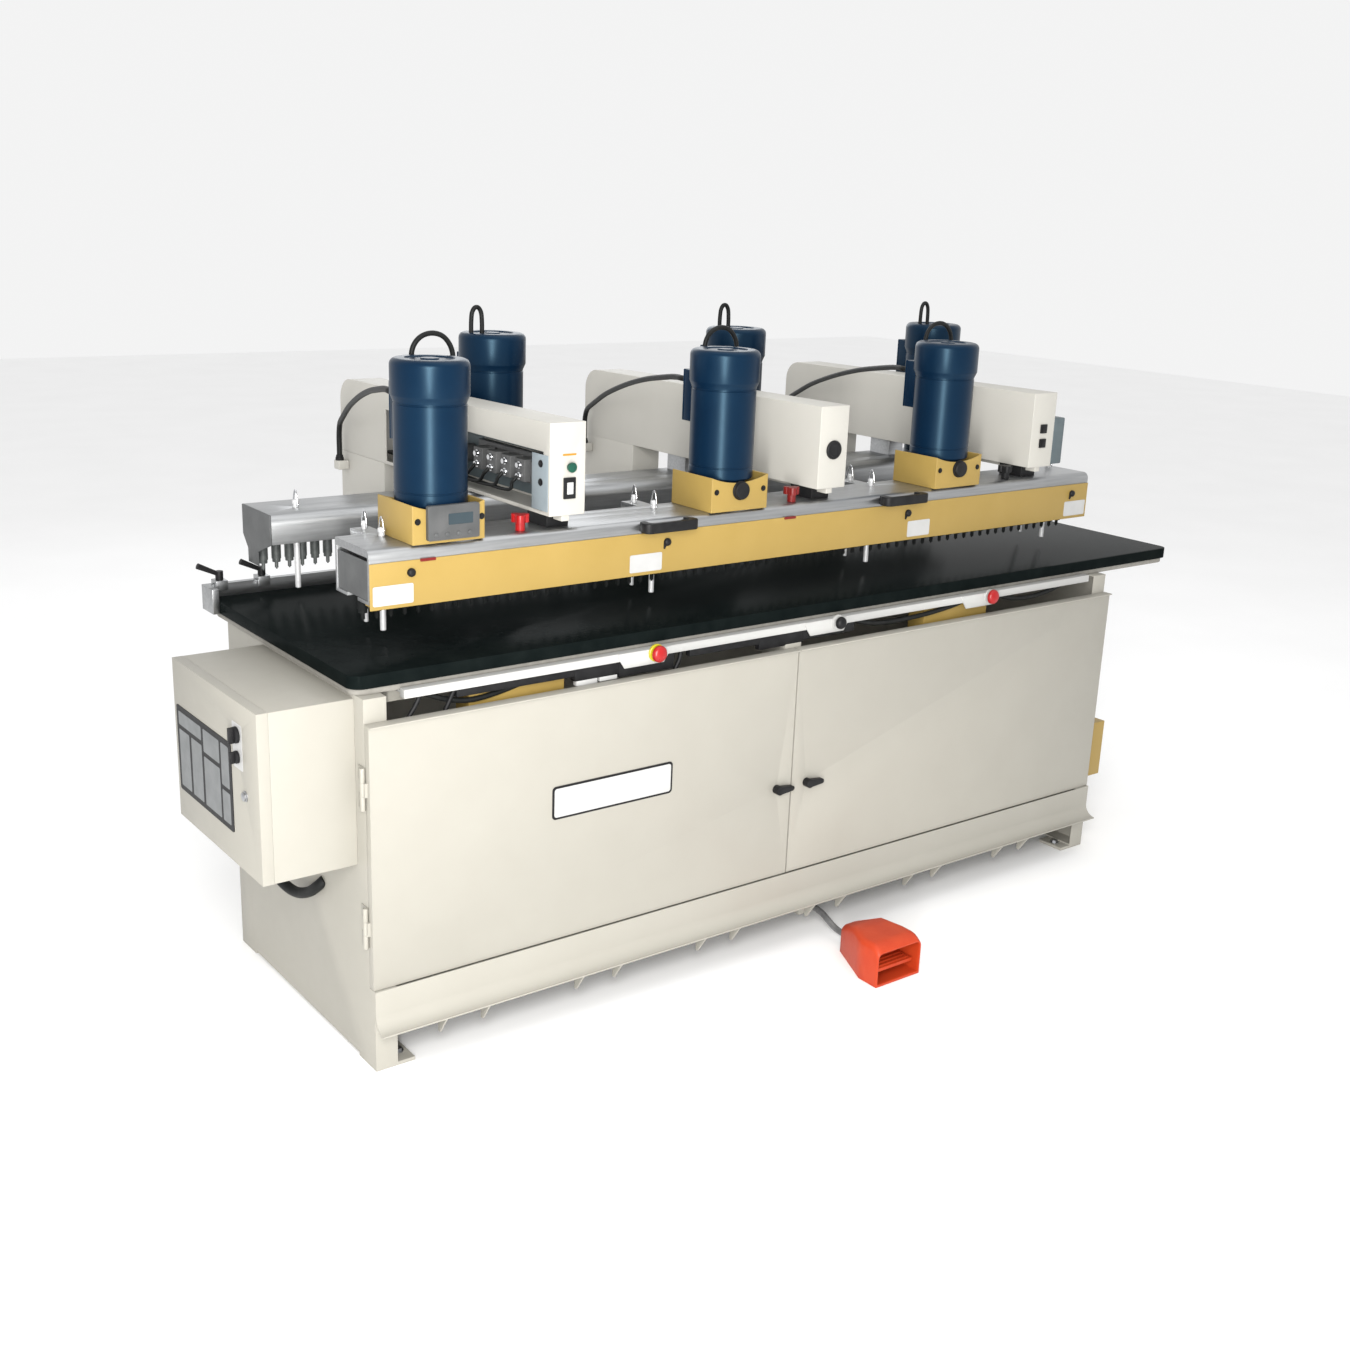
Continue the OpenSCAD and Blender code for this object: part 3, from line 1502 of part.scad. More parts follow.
// Position readout on the left motor box, and the round knobs on the other two
module readout() {
  x0 = front_motor_x[0] - mbox_w / 2 + readout_in;
  z0 = front_top_z + 10;
  screen_w = 62;
  screen_h = 24;
  screen_x = 46;
  screen_z = 30;
  knob_z = front_top_z + 48;
  color("gray")
    difference() {
      block(x0, x0 + readout_w, front_y0 - readout_d, front_y0, z0, z0 + readout_h);
      block(x0 + screen_x, x0 + screen_x + screen_w, front_y0 - readout_d - 1, front_y0 - readout_d + 2,
            z0 + screen_z, z0 + screen_z + screen_h);
    }
  color("black")
    for (i = [1, 2]) {
      rod_y(knob_r, front_motor_x[i], knob_z, front_y0 - 12, front_y0);
      for (s = [-1, 1])
        rod_y(6, front_motor_x[i] + s * (mbox_w / 2 - 14), knob_z, front_y0 - 5, front_y0);
    }
}

// Slide blocks on the front beam, running on the arms' rails
module slide_blocks() {
  color("black")
    for (x = arm_x)
      difference() {
        block(x - block_w / 2, x + block_w / 2, front_row_y - block_l / 2, front_row_y + block_l / 2,
              front_top_z, block_top_z);
        block(x - slide_w / 2 - run_gap, x + slide_w / 2 + run_gap,
              front_row_y - block_l, front_row_y + block_l, slide_z - run_gap, block_top_z + 1);
      }
}

// Red three-lobed knobs that lock the front head
module lock_knob(x) {
  z0 = front_top_z + spindle_rest;
  color("firebrick") {
    rod_z(lock_r / 2, x, lock_y, z0, z0 + lock_h / 2);
    translate([x, lock_y, z0 + lock_h / 2])
      linear_extrude(lock_h / 2)
        union() {
          circle(lock_r * 0.6);
          for (a = [0, 120, 240])
            rotate(a)
              translate([lock_r * 0.55, 0])
                circle(lock_r * 0.45);
        }
  }
}
module lock_knob_left() {
  lock_knob(lock_x[0]);
}
module lock_knob_centre() {
  lock_knob(lock_x[1]);
}
module lock_knob_right() {
  lock_knob(lock_x[2]);
}

// A motor cable: straight out of the junction box, back over the beams, round into its gland
function cable_route(m, a) = let (
  from = [m - jbox_w / 2 + cable_in, cable_start_y, cable_start_z],
  to = [a - arm_w / 2 - cable_out, cable_end_y, cable_end_z + run_gap],
  flat = [to[0] - from[0], to[1] - from[1], 0],
  along = flat / norm(flat),
  low = from + [0, 26, 0],
  rise = to + [0, 0, 40],
  arc = [for (t = [70, 46, 23])
          rise - along * cable_bend_r * (1 - cos(t)) + [0, 0, cable_bend_r * sin(t)]]
) concat(
  [from, from + [0, 13, 0], low],
  [for (w = cable_way)
    [low[0] + w[0] * (arc[0][0] - low[0]), low[1] + w[0] * (arc[0][1] - low[1]),
     low[2] + w[1] * (arc[0][2] - low[2])]],
  arc,
  [rise, to + [0, 0, 20], to]
);
module motor_cables() {
  color("black")
    for (k = [0 : 2])
      tube(curve(cable_route(front_motor_x[k], arm_x[k]), 3), cable_r, 8, [0, 0, 1]);
}

left_end_panel();
right_end_panel();
rear_panel();
front_frame();
front_sill();
door_hinges();
left_door();
right_door();
left_handle();
right_handle();
table_core();
table_top();
fence_rail();
fence_stop_left();
fence_stop_right();
stop_lever_left();
stop_lever_right();
control_rail();
estop_left();
estop_right();
start_button();
cylinder_covers();
enclosure();
control_gear();
enclosure_door();
main_switch();
selector_switch();
side_box();
pedal_guard();
pedal_treadle();
pedal_conduit();
column_base();
lift_cylinders();
columns();
left_arm();
plain_arms();
valve_bank();
arm_fittings();
arm_button();
rear_beam();
rear_end_plates();
rear_spindles();
rear_lead_spindle();
rear_motors();
rear_hold_downs();
front_beam();
front_cover();
front_spindles();
front_lead_spindle();
front_motors();
front_motor_boxes();
front_hold_downs();
bow_handles();
readout();
slide_blocks();
lock_knob_left();
lock_knob_centre();
lock_knob_right();
motor_cables();
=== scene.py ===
# %% [markdown]
# # Line boring machine
# The machine bores long rows of shelf-pin holes into cabinet panels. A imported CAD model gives
# every piece its place. This script dresses those pieces: rounded sheet edges, turned motors,
# chucks, cables, hoses, screws and finishes.

# %% Load the frame and keep its box
import json
import math

import bmesh
import bpy
from mathutils import Matrix, Vector


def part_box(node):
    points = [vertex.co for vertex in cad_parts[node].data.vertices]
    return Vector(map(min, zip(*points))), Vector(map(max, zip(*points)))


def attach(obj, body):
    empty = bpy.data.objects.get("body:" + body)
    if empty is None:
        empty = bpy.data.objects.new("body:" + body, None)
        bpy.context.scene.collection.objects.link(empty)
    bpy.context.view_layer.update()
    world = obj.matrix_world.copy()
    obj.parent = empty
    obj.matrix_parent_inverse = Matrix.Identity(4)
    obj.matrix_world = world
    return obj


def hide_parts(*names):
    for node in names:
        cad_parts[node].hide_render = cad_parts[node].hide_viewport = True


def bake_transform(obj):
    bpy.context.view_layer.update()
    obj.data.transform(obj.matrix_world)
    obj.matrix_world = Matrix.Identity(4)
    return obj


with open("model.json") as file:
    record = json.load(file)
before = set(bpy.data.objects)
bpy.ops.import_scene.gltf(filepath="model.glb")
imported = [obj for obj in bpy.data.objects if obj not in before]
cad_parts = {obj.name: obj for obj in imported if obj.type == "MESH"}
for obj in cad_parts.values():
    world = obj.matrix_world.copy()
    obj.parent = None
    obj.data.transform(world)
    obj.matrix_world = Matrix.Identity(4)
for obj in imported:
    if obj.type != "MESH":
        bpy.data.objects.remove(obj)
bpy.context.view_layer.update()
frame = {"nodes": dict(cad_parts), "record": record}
scene = bpy.context.scene
MM = 0.001
BODY_OF = {n: b for b, nodes in frame["record"]["behaviour"]["bodies"].items() for n in nodes}

# %% [markdown]
# ## Camera
# The photograph looks down a little on the machine from its left front corner. The camera was
# solved from the cabinet's straight edges: a turn of 37.5 degrees, a tilt of 16.8 degrees and a
# small roll. A matrix is clearer here than three Euler angles, because its columns are the
# camera's right, up and back directions.

# %% Camera at the photograph's angle
YAW, PITCH, ROLL = (math.radians(a) for a in (37.5, 16.83, -2.18))
CAMERA_PLACE = Vector((-2.402, -2.981, 1.752))
LENS, SENSOR = 41.39, 36
level = Vector((math.cos(YAW), -math.sin(YAW), 0))
ahead = Vector((math.sin(YAW) * math.cos(PITCH), math.cos(YAW) * math.cos(PITCH), -math.sin(PITCH)))
drop = ahead.cross(level)
right = math.cos(ROLL) * level + math.sin(ROLL) * drop
down = -math.sin(ROLL) * level + math.cos(ROLL) * drop
camera_data = bpy.data.cameras.new("photo_camera")
camera_data.lens, camera_data.sensor_width = LENS, SENSOR
camera_data.clip_end = 60
camera = bpy.data.objects.new("photo_camera", camera_data)
turn = Matrix((right, -down, -ahead)).transposed()
camera.matrix_world = Matrix.Translation(CAMERA_PLACE) @ turn.to_4x4()
scene.collection.objects.link(camera)
scene.camera = camera
print("camera at", [round(v, 3) for v in CAMERA_PLACE])

# %% [markdown]
# ## Floor and light
# A plain pale floor carries the machine. The photograph has one strong soft light close to the
# camera, on its left, so the left doors are bright and the right ones fall off. Large area lights
# give soft edges; the pale world fills the shadows. A tall narrow light beside the camera draws the
# upright streaks on the motors.

# %% Floor, lights and world
FLOOR_HALF, FLOOR_Z = 14.0, -0.0005
WORLD_STRENGTH = 0.9
WARM, COOL = (1.0, 0.99, 0.97), (0.96, 0.98, 1.0)
floor_mesh = bpy.data.meshes.new("floor")
floor_mesh.from_pydata(
    [(x * FLOOR_HALF, y * FLOOR_HALF, FLOOR_Z) for x, y in ((-1, -1), (1, -1), (1, 1), (-1, 1))], [], [(0, 1, 2, 3)]
)
floor = bpy.data.objects.new("floor", floor_mesh)
scene.collection.objects.link(floor)


def area_light(name, place, target, size, watts, tint=(1, 1, 1), tall=None):
    light = bpy.data.lights.new(name, "AREA")
    light.shape = "RECTANGLE"
    light.size = size
    light.size_y = tall or size
    light.energy = watts
    light.color = tint
    lamp = bpy.data.objects.new(name, light)
    aim = Vector(target) - Vector(place)
    lamp.matrix_world = Matrix.Translation(place) @ aim.to_track_quat("-Z", "Y").to_matrix().to_4x4()
    scene.collection.objects.link(lamp)


area_light("key_light", (-2.3, -2.7, 2.2), (-0.5, 0.0, 0.75), 1.1, 88, WARM)
area_light("strip_light", (-2.62, -3.2, 0.95), (-0.4, -0.2, 0.95), 0.3, 118, WARM, tall=1.8)
area_light("top_light", (0.2, -0.6, 4.2), (0.0, 0.0, 0.8), 3.2, 30)
area_light("back_light", (1.8, 3.6, 2.6), (0.0, 0.2, 0.9), 2.4, 22, COOL)
world = bpy.data.worlds.new("studio")
world.use_nodes = True
backdrop = world.node_tree.nodes["Background"]
backdrop.inputs["Color"].default_value = (1, 1, 1, 1)
backdrop.inputs["Strength"].default_value = WORLD_STRENGTH
scene.world = world
scene.view_settings.view_transform = "Standard"
print("floor", 2 * FLOOR_HALF, "m wide, four area lights")

# %% [markdown]
# ## Finishes
# Each finish is a small node tree on Object coordinates. One noise shifts the colour a little, a
# second one the gloss, and a third gives the fine relief: orange peel on powder coat, streaks on
# brushed metal, grain on moulded plastic. The helper keeps the three noises in one place, and a
# stretch turns round grain into brushed lines.

# %% Finish helper
FINISH = {}


def finish(key, dark, light, rough, metal=0.0, grain=9.0, relief=400.0, depth=0.05, stretch=(1, 1, 1), specular=0.4,
           tint=(1, 1, 1)):
    material = bpy.data.materials.new(key)
    material.use_nodes = True
    tree = material.node_tree
    shader = tree.nodes["Principled BSDF"]
    shader.inputs["Metallic"].default_value = metal
    shader.inputs["Specular IOR Level"].default_value = specular
    shader.inputs["Specular Tint"].default_value = (*tint, 1)
    place = tree.nodes.new("ShaderNodeTexCoord")
    mapping = tree.nodes.new("ShaderNodeMapping")
    mapping.inputs["Scale"].default_value = stretch
    tree.links.new(place.outputs["Object"], mapping.inputs["Vector"])

    def noise(scale, detail):
        node = tree.nodes.new("ShaderNodeTexNoise")
        node.inputs["Scale"].default_value = scale
        node.inputs["Detail"].default_value = detail
        tree.links.new(mapping.outputs["Vector"], node.inputs["Vector"])
        return node.outputs[0]

    ramp = tree.nodes.new("ShaderNodeValToRGB")
    ramp.color_ramp.elements[0].position = 0.3
    ramp.color_ramp.elements[1].position = 0.7
    ramp.color_ramp.elements[0].color = (*dark, 1)
    ramp.color_ramp.elements[1].color = (*light, 1)
    tree.links.new(noise(grain, 4), ramp.inputs["Fac"])
    tree.links.new(ramp.outputs["Color"], shader.inputs["Base Color"])
    gloss = tree.nodes.new("ShaderNodeMapRange")
    gloss.inputs["To Min"].default_value = rough[0]
    gloss.inputs["To Max"].default_value = rough[1]
    tree.links.new(noise(grain * 3.7, 3), gloss.inputs["Value"])
    tree.links.new(gloss.outputs["Result"], shader.inputs["Roughness"])
    bump = tree.nodes.new("ShaderNodeBump")
    bump.inputs["Strength"].default_value = depth
    bump.inputs["Distance"].default_value = 0.001
    tree.links.new(noise(relief, 2), bump.inputs["Height"])
    tree.links.new(bump.outputs["Normal"], shader.inputs["Normal"])
    FINISH[key] = material


print("finish helper: colour, gloss and relief from three noises")

# %% [markdown]
# Powder coat in cream and yellow, gloss navy on the motors, brushed alloy, rubber and moulded
# plastic make up this machine. Each finish is kept under a key, and every piece names the key of its finish.

# %% All finishes
ALONG_X = (0.04, 1, 1)
finish("cream", (0.318, 0.305, 0.268), (0.328, 0.315, 0.278), (0.4, 0.5), relief=700, depth=0.06, specular=0.3)
# The same cream paint made lighter for the arms, columns and elbows: painted light in place of a lamp on them.
finish("cream_painted_light", (0.44, 0.428, 0.392), (0.455, 0.443, 0.406), (0.4, 0.5), relief=700, depth=0.06, specular=0.3)
finish("yellow", (0.308, 0.209, 0.055), (0.33, 0.2255, 0.0633), (0.36, 0.48), relief=600, depth=0.05, specular=0.3)
finish("table_black", (0.004, 0.006, 0.006), (0.0065, 0.009, 0.0088), (0.18, 0.25), grain=30, relief=900, depth=0.02,
       specular=0.006, tint=(0.85, 1.0, 1.0))
finish("core_grey", (0.21, 0.2, 0.18), (0.25, 0.24, 0.215), (0.7, 0.85), grain=60, relief=500, depth=0.2)
finish("alloy", (0.342, 0.349, 0.356), (0.438, 0.445, 0.451), (0.3, 0.44), 1.0, 160, 900, 0.06, ALONG_X)
finish("navy", (0.0009, 0.009, 0.026), (0.0014, 0.011, 0.03), (0.3, 0.36), grain=14, relief=500, depth=0.03,
       specular=0.28, tint=(0.45, 0.78, 1.0))
finish("chrome", (0.666, 0.675, 0.693), (0.738, 0.747, 0.765), (0.06, 0.14), 1.0, 60, 500, 0.01)
finish("rod_satin", (0.6, 0.605, 0.61), (0.68, 0.685, 0.69), (0.26, 0.36), 0.25, 120, 800, 0.03)
finish("steel", (0.336, 0.344, 0.36), (0.448, 0.456, 0.472), (0.3, 0.42), 1.0, 120, 800, 0.05)
# A darker, dull copy of the chuck steel: painted shade for the front row under the cover.
finish("dark_steel", (0.007, 0.008, 0.008), (0.014, 0.015, 0.015), (0.55, 0.7), 0.0, 90, 700, 0.08, specular=0.06)
finish("chuck_grey", (0.063, 0.07, 0.0686), (0.105, 0.112, 0.1099), (0.4, 0.55), 0.2, 90, 700, 0.06, specular=0.2)
finish("pale_blue", (0.2232, 0.2666, 0.2914), (0.2542, 0.2976, 0.3224), (0.38, 0.48), grain=20, relief=700, depth=0.04)
finish("end_grey", (0.063, 0.066, 0.0672), (0.087, 0.09, 0.0912), (0.4, 0.55), grain=20, relief=600, depth=0.06)
finish("white_rail", (0.4092, 0.4092, 0.3968), (0.4588, 0.4588, 0.4464), (0.34, 0.46), 0.15, 40, 700, 0.05, ALONG_X)
finish("black_plastic", (0.0064, 0.0064, 0.0072), (0.0128, 0.0128, 0.0136), (0.4, 0.54), grain=40, relief=1200,
       depth=0.1, specular=0.2)
finish("red", (0.2852, 0.0062, 0.0074), (0.3348, 0.0087, 0.0099), (0.24, 0.34), grain=30, relief=900, depth=0.03)
finish("green", (0.0036, 0.051, 0.033), (0.006, 0.072, 0.042), (0.25, 0.35), grain=40, relief=900, depth=0.03)
finish("pedal_orange", (0.4032, 0.0347, 0.0078), (0.448, 0.0459, 0.0112), (0.4, 0.52), grain=24, relief=500, depth=0.1,
       specular=0.3)
finish("gear_grey", (0.061, 0.063, 0.064), (0.084, 0.085, 0.086), (0.42, 0.58), grain=30, relief=900, depth=0.08)
finish("conduit_grey", (0.132, 0.132, 0.135), (0.204, 0.204, 0.207), (0.34, 0.48), 0.4, 50, 700, 0.1)
finish("cable_black", (0.0056, 0.0064, 0.0064), (0.012, 0.0128, 0.0128), (0.42, 0.58), grain=60, relief=900, depth=0.12,
       specular=0.2)
finish("plate_white", (0.4176, 0.4176, 0.4118), (0.4524, 0.4524, 0.4466), (0.3, 0.4), grain=30, relief=800, depth=0.03)
finish("slate_blue", (0.0713, 0.093, 0.1023), (0.093, 0.1178, 0.1271), (0.4, 0.5), grain=20, relief=600, depth=0.05)
finish("field_grey", (0.13, 0.137, 0.14), (0.17, 0.178, 0.182), (0.35, 0.45), grain=30, relief=700, depth=0.04)
finish("lcd_glass", (0.03, 0.045, 0.054), (0.042, 0.057, 0.066), (0.1, 0.16), grain=20, relief=900, depth=0.01)
finish("stop_yellow", (0.406, 0.348, 0.0116), (0.4524, 0.3944, 0.0174), (0.3, 0.4), grain=30, relief=800, depth=0.03)
finish("dark_red", (0.12, 0.0048, 0.0048), (0.168, 0.0072, 0.006), (0.3, 0.45), grain=30, relief=800, depth=0.05)
finish("amber", (0.45, 0.18, 0.012), (0.492, 0.216, 0.018), (0.3, 0.4), grain=30, relief=800, depth=0.03)
finish("floor_pale", (0.92, 0.92, 0.92), (0.94, 0.94, 0.94), (0.75, 0.85), grain=2, depth=0.02, specular=0.1)
floor_mesh.materials.append(FINISH["floor_pale"])
print(len(FINISH), "finishes")

# %% [markdown]
# ## Mesh helpers
# Boxes, turned shapes, prisms and tubes cover most of a machine. They all work in millimetres in
# the machine's own frame, so a number can be read straight off a drawing. `make` turns the result
# into a piece: it scales to metres, bevels, smooths, gives it a finish and lets it ride on a body.

# %% Shapes in millimetres


def add_box(bm, x0, x1, y0, y1, z0, z1):
    middle = Matrix.Translation(((x0 + x1) / 2, (y0 + y1) / 2, (z0 + z1) / 2))
    bmesh.ops.create_cube(bm, size=1, matrix=middle @ Matrix.Diagonal((x1 - x0, y1 - y0, z1 - z0, 1)))


AXIS_TURN = {
    "Z": Matrix.Identity(4),
    "-Y": Matrix.Rotation(math.pi / 2, 4, "X"),
    "-X": Matrix.Rotation(-math.pi / 2, 4, "Y"),
}


def add_lathe(bm, profile, place, axis="Z", steps=40):
    """Turns (radius, height) pairs about an axis; the ends are closed with flat faces."""
    to = Matrix.Translation(place) @ AXIS_TURN[axis]
    rings = []
    for r, h in profile:
        rings.append([
            bm.verts.new(to @ Vector((r * math.cos(2 * math.pi * k / steps), r * math.sin(2 * math.pi * k / steps), h)))
            for k in range(steps)
        ])
    for a, b in zip(rings, rings[1:]):
        for k in range(steps):
            n = (k + 1) % steps
            bm.faces.new((a[k], a[n], b[n], b[k]))
    bm.faces.new(list(reversed(rings[0])))
    bm.faces.new(rings[-1])


def add_prism(bm, outline, y0, y1):
    """Runs an outline of (x, z) points from y0 to y1."""
    ends = [[bm.verts.new((x, y, z)) for x, z in outline] for y in (y0, y1)]
    count = len(outline)
    for k in range(count):
        n = (k + 1) % count
        bm.faces.new((ends[0][k], ends[0][n], ends[1][n], ends[1][k]))
    bm.faces.new(ends[0])
    bm.faces.new(list(reversed(ends[1])))


def round_outline(x0, x1, z0, z1, r, steps=6):
    points = []
    for cx, cz, start in ((x1 - r, z0 + r, -90), (x1 - r, z1 - r, 0), (x0 + r, z1 - r, 90), (x0 + r, z0 + r, 180)):
        for k in range(steps + 1):
            a = math.radians(start + 90 * k / steps)
            points.append((cx + r * math.cos(a), cz + r * math.sin(a)))
    return points


def smooth_route(points, steps):
    """A smooth curve through given points, as in the part's source."""
    p = [Vector(q) for q in points]
    out = []
    for i in range(len(p) - 1):
        a, b, c, d = p[max(i - 1, 0)], p[i], p[i + 1], p[min(i + 2, len(p) - 1)]
        for k in range(steps):
            t = k / steps
            out.append(
                0.5 * (2 * b + (c - a) * t + (2 * a - 5 * b + 4 * c - d) * t * t + (3 * b - a - 3 * c + d) * t ** 3)
            )
    out.append(p[-1])
    return out


print("shapes: box, lathe, prism, rounded outline, smooth route")

# %% [markdown]
# `make` ends every piece the same way. The bevel is made real before any frame call, and the
# sharp-edge angle keeps flat faces flat. `soften` takes a copy of a CAD node, merges its loose
# triangles, joins flat areas and rounds the edges, because sheet metal and castings never have a
# razor edge and the light shows it.

# %% Turning meshes into pieces


def real_mesh(piece):
    graph = bpy.context.evaluated_depsgraph_get()
    mesh = bpy.data.meshes.new_from_object(piece.evaluated_get(graph), depsgraph=graph)
    piece.modifiers.clear()
    piece.data = mesh
    return mesh


def dress(piece, key, body, replaces=(), angle=35):
    mesh = piece.data
    mesh.materials.clear()
    mesh.materials.append(FINISH[key])
    mesh.shade_smooth()
    mesh.set_sharp_from_angle(angle=math.radians(angle))
    if body:
        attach(piece, body)
    if replaces:
        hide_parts(*replaces)
    return piece


def bevelled(piece, width, segments):
    bevel = piece.modifiers.new("edge", "BEVEL")
    bevel.width = width * MM
    bevel.segments = segments
    bevel.limit_method = "ANGLE"
    bevel.angle_limit = math.radians(40)
    bevel.harden_normals = False
    real_mesh(piece)


def make(name, bm, key, body, bevel=0.0, segments=2, replaces=(), angle=35):
    bmesh.ops.recalc_face_normals(bm, faces=bm.faces)
    mesh = bpy.data.meshes.new(name)
    bm.to_mesh(mesh)
    bm.free()
    mesh.transform(Matrix.Scale(MM, 4))
    piece = bpy.data.objects.new(name, mesh)
    scene.collection.objects.link(piece)
    if bevel:
        bevelled(piece, bevel, segments)
    return dress(piece, key, body, replaces, angle)


def soften(node, width, key, segments=2, angle=35):
    bm = bmesh.new()
    bm.from_mesh(frame["nodes"][node].data)
    bmesh.ops.remove_doubles(bm, verts=bm.verts, dist=1e-6)
    bmesh.ops.dissolve_limit(bm, angle_limit=math.radians(0.6), verts=bm.verts, edges=bm.edges)
    mesh = bpy.data.meshes.new(node + "_skin")
    bm.to_mesh(mesh)
    bm.free()
    piece = bpy.data.objects.new(node + "_skin", mesh)
    scene.collection.objects.link(piece)
    bevelled(piece, width, segments)
    return dress(piece, key, BODY_OF[node], (node,), angle)


# %% [markdown]
# ## Geometry Nodes for paths and rows
# Two trees do the repeated work. `hose` gives any line of points a round section: cables, lead
# loops, air hoses and wire clips. `fasteners` puts a washer and a head on every point, turned to
# the point's own axis, so one tree makes screws, bolts and studs on any face.

# %% Tree builder


def tree_with(name, sockets):
    tree = bpy.data.node_groups.new(name, "GeometryNodeTree")
    tree.interface.new_socket("Geometry", in_out="INPUT", socket_type="NodeSocketGeometry")
    for label, kind, value in sockets:
        socket = tree.interface.new_socket(label, in_out="INPUT", socket_type=kind)
        if value is not None:
            socket.default_value = value
    tree.interface.new_socket("Geometry", in_out="OUTPUT", socket_type="NodeSocketGeometry")
    return tree, tree.nodes.new("NodeGroupInput"), tree.nodes.new("NodeGroupOutput")


def end_tree(tree, last, source, sink):
    realize = tree.nodes.new("GeometryNodeRealizeInstances")
    paint = tree.nodes.new("GeometryNodeSetMaterial")
    tree.links.new(last, realize.inputs["Geometry"])
    tree.links.new(realize.outputs["Geometry"], paint.inputs["Geometry"])
    tree.links.new(source.outputs["Finish"], paint.inputs["Material"])
    tree.links.new(paint.outputs["Geometry"], sink.inputs["Geometry"])


def grow(name, mesh, tree, key, body, replaces=(), angle=35, **values):
    """Runs a tree on a mesh and keeps the result as a plain piece."""
    piece = bpy.data.objects.new(name, mesh)
    scene.collection.objects.link(piece)
    modifier = piece.modifiers.new("grow", "NODES")
    modifier.node_group = tree
    for item in tree.interface.items_tree:
        if item.in_out == "INPUT" and item.name in values:
            modifier[item.identifier] = values[item.name]
        if item.in_out == "INPUT" and item.name == "Finish":
            modifier[item.identifier] = FINISH[key]
    real_mesh(piece)
    return dress(piece, key, body, replaces, angle)


print("tree builder ready")

# %% [markdown]
# A cable could be a curve object with a bevel depth. A tree is better here: its radius and side
# count are named inputs, many routes become one piece, and the result is a plain mesh at once.

# %% Hose tree
hose_tree, hose_in, hose_out = tree_with("hose", [
    ("Radius", "NodeSocketFloat", 0.005), ("Sides", "NodeSocketInt", 12), ("Finish", "NodeSocketMaterial", None),
])
to_curve = hose_tree.nodes.new("GeometryNodeMeshToCurve")
ring = hose_tree.nodes.new("GeometryNodeCurvePrimitiveCircle")
sweep = hose_tree.nodes.new("GeometryNodeCurveToMesh")
sweep.inputs["Fill Caps"].default_value = True
hose_tree.links.new(hose_in.outputs["Geometry"], to_curve.inputs["Mesh"])
hose_tree.links.new(hose_in.outputs["Radius"], ring.inputs["Radius"])
hose_tree.links.new(hose_in.outputs["Sides"], ring.inputs["Resolution"])
hose_tree.links.new(to_curve.outputs["Curve"], sweep.inputs["Curve"])
hose_tree.links.new(ring.outputs["Curve"], sweep.inputs["Profile Curve"])
end_tree(hose_tree, sweep.outputs["Mesh"], hose_in, hose_out)


def hoses(name, routes, radius, key, body, replaces=(), sides=12, steps=6):
    """One piece with a round hose along each route, a list of points in millimetres."""
    verts, edges = [], []
    for route in routes:
        line = smooth_route(route, steps)
        edges += [(len(verts) + k, len(verts) + k + 1) for k in range(len(line) - 1)]
        verts += [p * MM for p in line]
    mesh = bpy.data.meshes.new(name)
    mesh.from_pydata(verts, edges, [])
    return grow(name, mesh, hose_tree, key, body, replaces, 50, Radius=radius * MM, Sides=sides)


print("hose tree with", len(hose_tree.nodes), "nodes")

# %% [markdown]
# A screw on this machine is a washer with a hexagon or round head. The point carries its axis as an
# attribute, so the same two cylinders serve floor bolts and lid screws.

# %% Fastener tree
WASHER_SIDES, WASHER_WIDER, WASHER_THINNER = 20, 1.35, 0.6
screw_tree, screw_in, screw_out = tree_with("fasteners", [
    ("Head radius", "NodeSocketFloat", 0.006), ("Head height", "NodeSocketFloat", 0.004),
    ("Head sides", "NodeSocketInt", 6), ("Finish", "NodeSocketMaterial", None),
])
washer = screw_tree.nodes.new("GeometryNodeMeshCylinder")
washer.inputs["Vertices"].default_value = WASHER_SIDES
head = screw_tree.nodes.new("GeometryNodeMeshCylinder")
wide, thin, half = (screw_tree.nodes.new("ShaderNodeMath") for _ in range(3))
for node, share in ((wide, WASHER_WIDER), (thin, WASHER_THINNER), (half, 0.5)):
    node.operation = "MULTIPLY"
    node.inputs[1].default_value = share
lift = screw_tree.nodes.new("ShaderNodeCombineXYZ")
raised = screw_tree.nodes.new("GeometryNodeTransform")
both = screw_tree.nodes.new("GeometryNodeJoinGeometry")
axis_of = screw_tree.nodes.new("GeometryNodeInputNamedAttribute")
axis_of.data_type = "FLOAT_VECTOR"
axis_of.inputs["Name"].default_value = "axis"
aim = screw_tree.nodes.new("FunctionNodeAlignRotationToVector")
aim.axis = "Z"
place = screw_tree.nodes.new("GeometryNodeInstanceOnPoints")
for a, b in (
    (screw_in.outputs["Head radius"], wide.inputs[0]), (wide.outputs[0], washer.inputs["Radius"]),
    (screw_in.outputs["Head height"], thin.inputs[0]), (thin.outputs[0], washer.inputs["Depth"]),
    (screw_in.outputs["Head radius"], head.inputs["Radius"]),
    (screw_in.outputs["Head height"], head.inputs["Depth"]),
    (screw_in.outputs["Head sides"], head.inputs["Vertices"]),
    (screw_in.outputs["Head height"], half.inputs[0]), (half.outputs[0], lift.inputs["Z"]),
    (lift.outputs[0], raised.inputs["Translation"]), (head.outputs["Mesh"], raised.inputs["Geometry"]),
    (washer.outputs["Mesh"], both.inputs[0]), (raised.outputs[0], both.inputs[0]),
    (axis_of.outputs["Attribute"], aim.inputs["Vector"]), (aim.outputs[0], place.inputs["Rotation"]),
    (screw_in.outputs["Geometry"], place.inputs["Points"]), (both.outputs[0], place.inputs["Instance"]),
):
    screw_tree.links.new(a, b)
